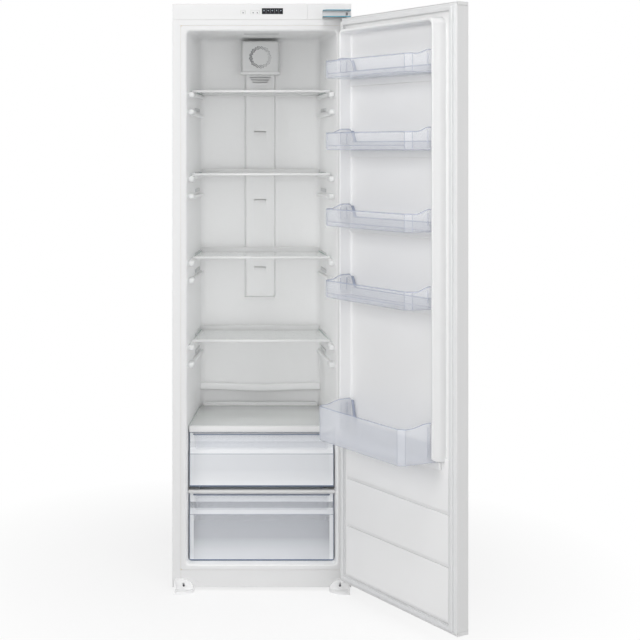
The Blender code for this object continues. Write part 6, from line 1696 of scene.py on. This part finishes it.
@dataclass
class Compressor:
    """The compressor on its plate and mounts, with its terminal box and its stubs."""

    x: float = 0.075
    y: float = 0.385
    radius: float = 0.074
    low: float = 0.034
    top: float = 0.195
    seam: float = 0.004
    seam_height: float = 0.006
    plate: Span = (0.170, 0.110)
    plate_drop: float = 0.00125
    plate_height: float = 0.0075
    plate_round: float = 0.002
    mount_low: float = 0.0143
    mount_radius: float = 0.010
    mount_shares: Span = (0.9, 0.75)
    mount_steps: tuple[float, ...] = (0.001, 0.006, 0.0075, 0.0105, 0.012)
    terminal: tuple[float, float, float] = (0.040, 0.064, 0.060)
    terminal_low: float = 0.075
    terminal_round: float = 0.005
    inlet: tuple[float, float, float] = (0.028, 0.016, 0.022)
    inlet_wall: float = 0.0025
    inlet_soft: float = 0.0004
    inlet_corner: float = 0.002
    inlet_floor: float = 0.002
    pin_pitch: float = 0.006
    pin_lift: float = 0.002
    pin_round: float = 0.0006
    pin: tuple[float, float, float] = (0.001, 0.012, 0.003)
    stub_radius: float = 0.004
    stub_share: float = 0.8
    stub: float = 0.014
    stub_root: float = 0.012
    stub_taper: float = 0.004
    discharge: float = 0.090
    suction: float = 0.130

    def pot(self) -> Array:
        """The pot turned about its axis: two elliptic domes and a rounded seam between them.

        Returns:
            Rings of points.
        """
        sine, cosine = quarter(14)
        radius, low, top = self.radius, self.low, self.top
        dome = (top - low) / 4
        middle = (low + top) / 2 + self.seam_height
        upper = np.stack([radius * sine, top - dome + dome * cosine], -1)
        lower = np.stack([radius * cosine, low + dome - dome * sine], -1)
        turn = np.linspace(0.5, -0.5, 9) * math.pi
        out = radius + self.seam * np.cos(turn) ** 0.5
        bulge = np.stack([out, middle + self.seam_height / 2 * (1 + np.sin(turn))], -1)
        return lathe(np.concatenate([upper, bulge, lower]), (self.x, self.y, 0.0), 2, 72)

    def socket(self) -> Array:
        """The mains inlet: a collar with a recess, as rectangles carried in depth.

        Returns:
            Rings of points.
        """
        across, deep, high = self.inlet
        left = self.x - self.radius - self.terminal[0] / 2
        middle = self.terminal_low + self.terminal[2] / 2
        wall, soft, corner = self.inlet_wall, self.inlet_soft, self.inlet_corner
        inset = np.array([0.0, 0.0, soft, wall - soft, wall, wall])
        depth = np.array([-SINK, deep - soft, deep, deep, deep - soft, self.inlet_floor])[:, None]
        reach = high / 2 - inset
        flat = rounded_rings(across / 2 - inset, middle - reach, middle + reach, corner, corner, 4)
        depth = self.y + self.terminal[1] / 2 + depth
        return joined(flat[..., 0] + left + across / 2, depth, flat[..., 1])

    def fittings(self, low: float) -> Surface:
        """The mounts under the plate's low side, the terminal box and its inlet.

        Args:
            low: Height of the plate's underside.

        Returns:
            The surface.
        """
        x, y, surface = self.x, self.y, Surface()
        wide, deep = self.plate[0] / 2, self.plate[1] / 2
        r, foot = self.mount_radius, self.mount_low
        tread, waist = (share * r for share in self.mount_shares)
        body = zip((r, r, waist, waist, r), foot + np.array(self.mount_steps))
        profile = [(0.0, foot), (tread, foot), *body, (r, low), (0.0, low)]
        for across in (-1, 1):
            for along in (-1, 1):
                surface.turned(profile, (x + across * (wide - r), y + along * (deep - r), 0.0), 2, 24)
        (a, b, c), base = self.terminal, self.terminal_low
        left = x - self.radius - a / 2
        surface.box((left, y - b / 2, base), (left + a, y + b / 2, base + c), self.terminal_round, 4)
        return surface.band(cabinet_frame(self.socket()))

    def metal(self) -> Surface:
        """The two stubs on the pot's side and the three pins in the inlet.

        Returns:
            The surface.
        """
        surface, end = Surface(), self.radius + self.stub
        r, start = self.stub_radius, self.radius - self.stub_root
        tip = (self.stub_share * r, end)
        profile = [(0.0, start), (r, start), (r, end - self.stub_taper), tip, (0.0, end)]
        for level in (self.discharge, self.suction):
            surface.turned(profile, (self.x, self.y, level), 0, 24)
        middle = self.terminal_low + self.terminal[2] / 2
        back = self.y + self.terminal[1] / 2
        left = self.x - self.radius - self.terminal[0] / 2 + self.inlet[0] / 2
        half, reach, tall = self.pin
        for step in (-1, 0, 1):
            pin, up = left + step * self.pin_pitch, middle + self.pin_lift * (step == 0)
            low, high = (pin - half, back + SINK, up - tall), (pin + half, back + reach, up + tall)
            surface.box(low, high, self.pin_round)
        return surface

    def build(self) -> None:
        """Show the pot on its plate, the rubber and plastic fittings, and the metal ones."""
        x, y, low = self.x, self.y, self.low - self.plate_drop
        wide, deep = self.plate[0] / 2, self.plate[1] / 2
        pot = Surface().band(cabinet_frame(self.pot()))
        high = low + self.plate_height
        pot.box((x - wide, y - deep, low), (x + wide, y + deep, high), self.plate_round)
        pot.show("compressor_pot", ENAMEL_BLACK, "cabinet", "compressor")
        self.fittings(low).show("compressor_fittings", DARK_PLASTIC)
        self.metal().show("compressor_stubs", COPPER)


@dataclass
class CoolingCircuit:
    """The coil with its wires, the dryer and the suction line, all drawn round."""

    compressor: Compressor
    depth: float = 0.479
    coil_radius: float = 0.0025
    coil_top: float = 1.620
    runs: int = 13
    pitch: float = 0.100
    run_half: float = 0.165
    run_gap: float = 0.0005
    lead_bend: float = 0.006
    tail: float = 0.03
    tail_bend: float = 0.014
    riser: float = 0.236
    dryer: float = -0.190
    dryer_top: float = 0.335
    dryer_length: float = 0.090
    dryer_radius: float = 0.009
    dryer_neck: float = 0.0035
    dryer_neck_length: float = 0.008
    dryer_cap: float = 0.009
    wires: int = 31
    wire_pitch: float = 0.0145
    wire: float = 0.0008
    wire_gap: float = 0.0003
    wire_ends: Span = (0.400, 1.640)
    suction_x: float = 0.180
    outlet: float = 0.370
    outlet_depth: float = 0.4543
    suction_bend: float = 0.011

    def coil_path(self) -> Array:
        """The coil's line: out of the pot, up the riser, back and forth and down to the dryer.

        Returns:
            Points.
        """
        pot, deep, top, pitch = self.compressor, self.depth, self.coil_top, self.pitch
        turn, level = pot.stub, pot.discharge
        start = pot.x + pot.radius + turn
        lead = bent([
            (start, pot.y, level), (start + turn, pot.y, level), (self.riser, deep - turn, level),
            (self.riser, deep, level + turn), (self.riser, deep, top - turn),
            (self.riser - turn, deep, top)], self.lead_bend, 6)
        bends = np.arange(self.runs - 1)
        across = np.repeat(np.where(bends % 2 == 0, -1.0, 1.0) * (self.run_half + pitch / 2), 2)
        height = np.stack([top - pitch * bends, top - pitch * bends - pitch], -1).ravel()
        last, tail = top - pitch * len(bends), self.dryer + self.tail
        points = [(self.riser - turn, top), *zip(across, height), (tail, last)]
        winding = bent([(x, deep, z) for x, z in points], pitch / 2 - self.run_gap, 12)
        down = [(tail, deep, last), (self.dryer, deep, last), (self.dryer, deep, self.dryer_top)]
        end = bent(down, self.tail_bend)
        return np.concatenate([lead[:-1], winding, end[1:]])

    def suction_path(self) -> Array:
        """The suction line: out of the back panel, down and forward to the pot.

        Returns:
            Points.
        """
        pot, x, deep = self.compressor, self.suction_x, self.depth
        start = pot.x + pot.radius + pot.stub
        return bent([(x, self.outlet_depth, self.outlet), (x, deep, self.outlet), (x, deep, pot.suction),
                     (x, pot.y, pot.suction), (start, pot.y, pot.suction)], self.suction_bend)

    def grid(self) -> Surface:
        """The upright wires on the coil and the two that cross their ends.

        Returns:
            The surface.
        """
        surface, r = Surface(), self.wire
        low, high = self.wire_ends
        depth = self.depth + self.coil_radius + self.wire_gap + r
        places = (np.arange(self.wires) - (self.wires - 1) / 2) * self.wire_pitch
        ends = [((x, low), (x, high)) for x in places]
        half = places[-1] + r
        ends += [((-half, level), (half, level)) for level in (low + r, high - r)]
        for first, last in ends:
            surface.tube(np.array([(x, depth, z) for x, z in (first, last)]), r, 8)
        return surface

    def can(self) -> Surface:
        """The dryer: a can whose ends close through quarter arcs to a neck, turned about Z.

        Returns:
            The surface.
        """
        r, top, neck = self.dryer_radius, self.dryer_top, self.dryer_neck
        sine, cosine = quarter(6)
        down = self.dryer_neck_length + self.dryer_cap * (1 - cosine)
        cap = np.stack([neck + (r - neck) * sine, top - down], -1)
        upper = np.concatenate([[(0.0, top), (neck, top)], cap])
        lower = upper[::-1] * [1, -1] + [0, 2 * top - self.dryer_length]
        return Surface().turned(np.concatenate([upper, lower]), (self.dryer, self.depth, 0.0), 2, 32)

    def build(self) -> None:
        """Show the whole circuit."""
        self.compressor.build()
        coil = Surface().tube(self.coil_path(), self.coil_radius, 12)
        coil.show("coil", ENAMEL_BLACK, "cabinet", "condenser_coil")
        self.grid().show("coil_wires", ENAMEL_BLACK, "cabinet", "condenser_wires")
        self.can().show("dryer", COPPER, "cabinet", "filter_dryer")
        line = Surface().tube(self.suction_path(), self.compressor.stub_radius, 16)
        line.show("suction_line", COPPER, "cabinet", "suction_pipe")


# Everything else

@dataclass
class Studio:
    """Plain floor, soft light, white surroundings and the photograph's camera."""

    focal: float = 74.60
    sensor: float = 36.0
    camera_place: tuple[float, float, float] = (-0.0566, -4.2339, 1.3179)
    shift: Span = (0.1203, -0.2653)
    floor: float = -0.0101
    floor_half: float = 30.0
    floor_colour: Colour = (0.9, 0.9, 0.9)
    fade: Span = (0.25, 0.70)
    aim: tuple[float, float, float] = (0.0, 0.0, 0.9)
    sky: float = 0.20
    lamps: tuple[tuple[str, tuple[float, float, float], float, float], ...] = (
        ("high_light", (-0.5, -5.6, 2.5), 2.2, 25.0),
        ("left_light", (-3.2, -3.0, 2.6), 2.0, 58.0),
        ("right_light", (2.6, -3.6, 1.6), 2.0, 34.0),
        ("top_light", (0.0, -2.0, 4.2), 2.0, 44.0),
        ("front_light", (-0.2, -4.5, 0.7), 1.5, 18.0),
    )

    def camera_share(self, tree: Tree) -> Socket:
        """One for rays that should see a white background: camera, glossy and transmission rays.

        Args:
            tree: The tree that it is used in.

        Returns:
            The share, 0 or 1.
        """
        path = tree.add("ShaderNodeLightPath")
        seen, glossy, through = [
            Socket(tree, path.outputs[f"Is {kind} Ray"]) for kind in ("Camera", "Glossy", "Transmission")]
        return (seen + glossy + through).clamp()

    def light_up(self) -> None:
        """Make the world: dim for the object's light, and white where it is seen."""
        bpy.context.scene.world = bpy.data.worlds.new("studio")
        tree = Tree(bpy.context.scene.world)
        white = (1.0, 1.0, 1.0, 1.0)
        plain, seen = [
            tree.value("ShaderNodeBackground", inputs={"Color": white, "Strength": strength})
            for strength in (self.sky, 1.0)]
        mixed = tree.value("ShaderNodeMixShader", inputs={0: self.camera_share(tree), 1: plain, 2: seen})
        tree.add("ShaderNodeOutputWorld", inputs={"Surface": mixed})

    def ground(self) -> bpy.types.Object:
        """The floor, which fades from a shadowed white to the background with its distance.

        Returns:
            The floor.
        """
        material = bpy.data.materials.new("studio_floor")
        tree = Tree(material)
        diffuse = tree.value("ShaderNodeBsdfDiffuse", inputs={"Color": (*self.floor_colour, 1.0)})
        glow = tree.value("ShaderNodeEmission", inputs={"Color": (1.0, 1.0, 1.0, 1.0), "Strength": 1.0})
        share = self.camera_share(tree) * (tree.place().length() * self.fade[0] + self.fade[1]).clamp()
        mixed = tree.value("ShaderNodeMixShader", inputs={0: share, 1: diffuse, 2: glow})
        tree.add("ShaderNodeOutputMaterial", inputs={"Surface": mixed})
        mesh = bpy.data.meshes.new("studio_floor")
        far, z = self.floor_half, self.floor
        mesh.from_pydata([(-far, -far, z), (far, -far, z), (far, far, z), (-far, far, z)], [], [(0, 1, 2, 3)])
        mesh.materials.append(material)
        return bpy.data.objects.new("studio_floor", mesh)

    def lamp(self, name: str, place: Place, size: float, power: float) -> bpy.types.Object:
        """A square soft light that faces the object.

        Args:
            name: The lamp's name.
            place: Where it stands.
            size: Its side.
            power: Its power in watts.

        Returns:
            The lamp.
        """
        data = bpy.data.lights.new(name, "AREA")
        data.shape, data.size, data.energy = "SQUARE", size, power
        lamp = bpy.data.objects.new(name, data)
        lamp.location = place
        ahead = np.array(self.aim) - np.array(place)
        tilt = math.acos(-ahead[2] / np.linalg.norm(ahead))
        lamp.rotation_euler = (tilt, 0.0, math.atan2(ahead[1], ahead[0]) - math.pi / 2)
        return lamp

    def camera(self) -> bpy.types.Object:
        """The photograph's camera, level and shifted.

        Returns:
            The camera.
        """
        data = bpy.data.cameras.new("photo_camera")
        data.sensor_width, data.lens = self.sensor, self.focal
        data.shift_x, data.shift_y = self.shift
        camera = bpy.data.objects.new("photo_camera", data)
        camera.location = self.camera_place
        camera.rotation_euler = (math.radians(90), 0.0, 0.0)
        return camera

    def build(self) -> None:
        """Make the world, the floor, the lamps and the camera."""
        self.light_up()
        lamps = [self.lamp(*lamp) for lamp in self.lamps]
        camera = self.camera()
        for thing in (self.ground(), *lamps, camera):
            bpy.context.scene.collection.objects.link(thing)
        bpy.context.scene.camera = camera
        bpy.context.scene.view_settings.view_transform = "Standard"


@dataclass
class PlainPieces:
    """CAD nodes that are shown as softened copies, or as they are, each with its finish."""

    frame: dict
    soft: tuple[tuple[str, Finish, float], ...] = (
        ("outer_casing", SHELL_PAINT, 0.0006), ("base_panel", SHELL_PAINT, 0.0012),
        ("door_outer_panel", SHELL_PAINT, 0.0012), ("control_fascia", MOULDED_WHITE, 0.0004),
        ("hinge_cover", MOULDED_WHITE, 0.0004), ("mode_button", MOULDED_WHITE, 0.0003),
        ("set_button", MOULDED_WHITE, 0.0003), ("drawer_divider", DIVIDER_WHITE, 0.0012),
        ("left_foot", FOOT_PAINTED_LIGHT, 0.0010), ("right_foot", FOOT_PAINTED_LIGHT, 0.0010),
        ("door_top_cap", MOULDED_WHITE, 0.0015), ("door_bottom_cap", MOULDED_WHITE, 0.0015),
        ("fan_cover", FAN_PAINTED_SHADE, 0.0010), ("air_duct", LINER_WHITE, 0.0004),
        ("bottom_hinge_bracket", SHELL_PAINT, 0.0006),
        ("drip_tray", DARK_PLASTIC, 0.0008), ("fan_motor", DARK_PLASTIC, 0.0006),
        ("lamp_lens", FROSTED_LENS, 0.0008), ("display_window", BLACK_GLASS, 0.0003),
    )
    plain: tuple[tuple[Finish, tuple[str, ...]], ...] = (
        (GALVANISED, ("back_panel", "compressor_rail")),
        (HINGE_STEEL, ("top_hinge_pin", "bottom_hinge_pin")),
        (FOAM, ("insulation_foam", "door_foam")),
        (BOARD_GREEN, ("control_board", "lamp_board")),
        (DARK_PLASTIC, ("fan_impeller", "drain_tube")),
    )

    def build(self) -> None:
        """Show them all."""
        for node, finish, width in self.soft:
            softened(self.frame, node, finish, width)
        for finish, nodes in self.plain:
            dress(self.frame, finish, nodes)


def main() -> None:
    """Build every sub-assembly in order."""
    logging.basicConfig(level=logging.INFO, format="%(message)s")
    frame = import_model()
    Studio().build()
    FoodCompartment().build()
    for number, top in enumerate(SHELF_TOPS, 1):
        GlassShelf(f"shelf_{number}", top).build()
    GlassShelf("crisper_cover", CRISPER_TOP, front=0.036, rear=0.381, trim_height=0.0181,
               side_play=0.004, rear_play=0.013, pane=COVER_GLASS).build()
    Drawer("upper_drawer", 0.2927, 0.4586, 0.2927, 0.340, runners=True).build()
    # The lower drawer is less milky throughout: painted shade.
    Drawer("lower_drawer", 0.0673, 0.2742, 0.0673, 0.238, MilkAndPaintedLight(0.62, 0.30, 0.20, 0.72, 0.22)).build()
    DoorInside().build()
    for number, level in enumerate(BALCONY_LEVELS, 1):
        Balcony(f"balcony_{number}", level).build()
    Balcony("bottle_balcony", BOTTLE_LEVEL, 0.135, 0.099, 0.109, 0.040, half=0.2050, milk=0.40).build()
    TopHinge().build()
    Controls().build()
    FanCoverTrim().build()
    FrontScrews().build()
    CoolingCircuit(Compressor()).build()
    PlainPieces(frame).build()


if __name__ == "__main__":
    main()
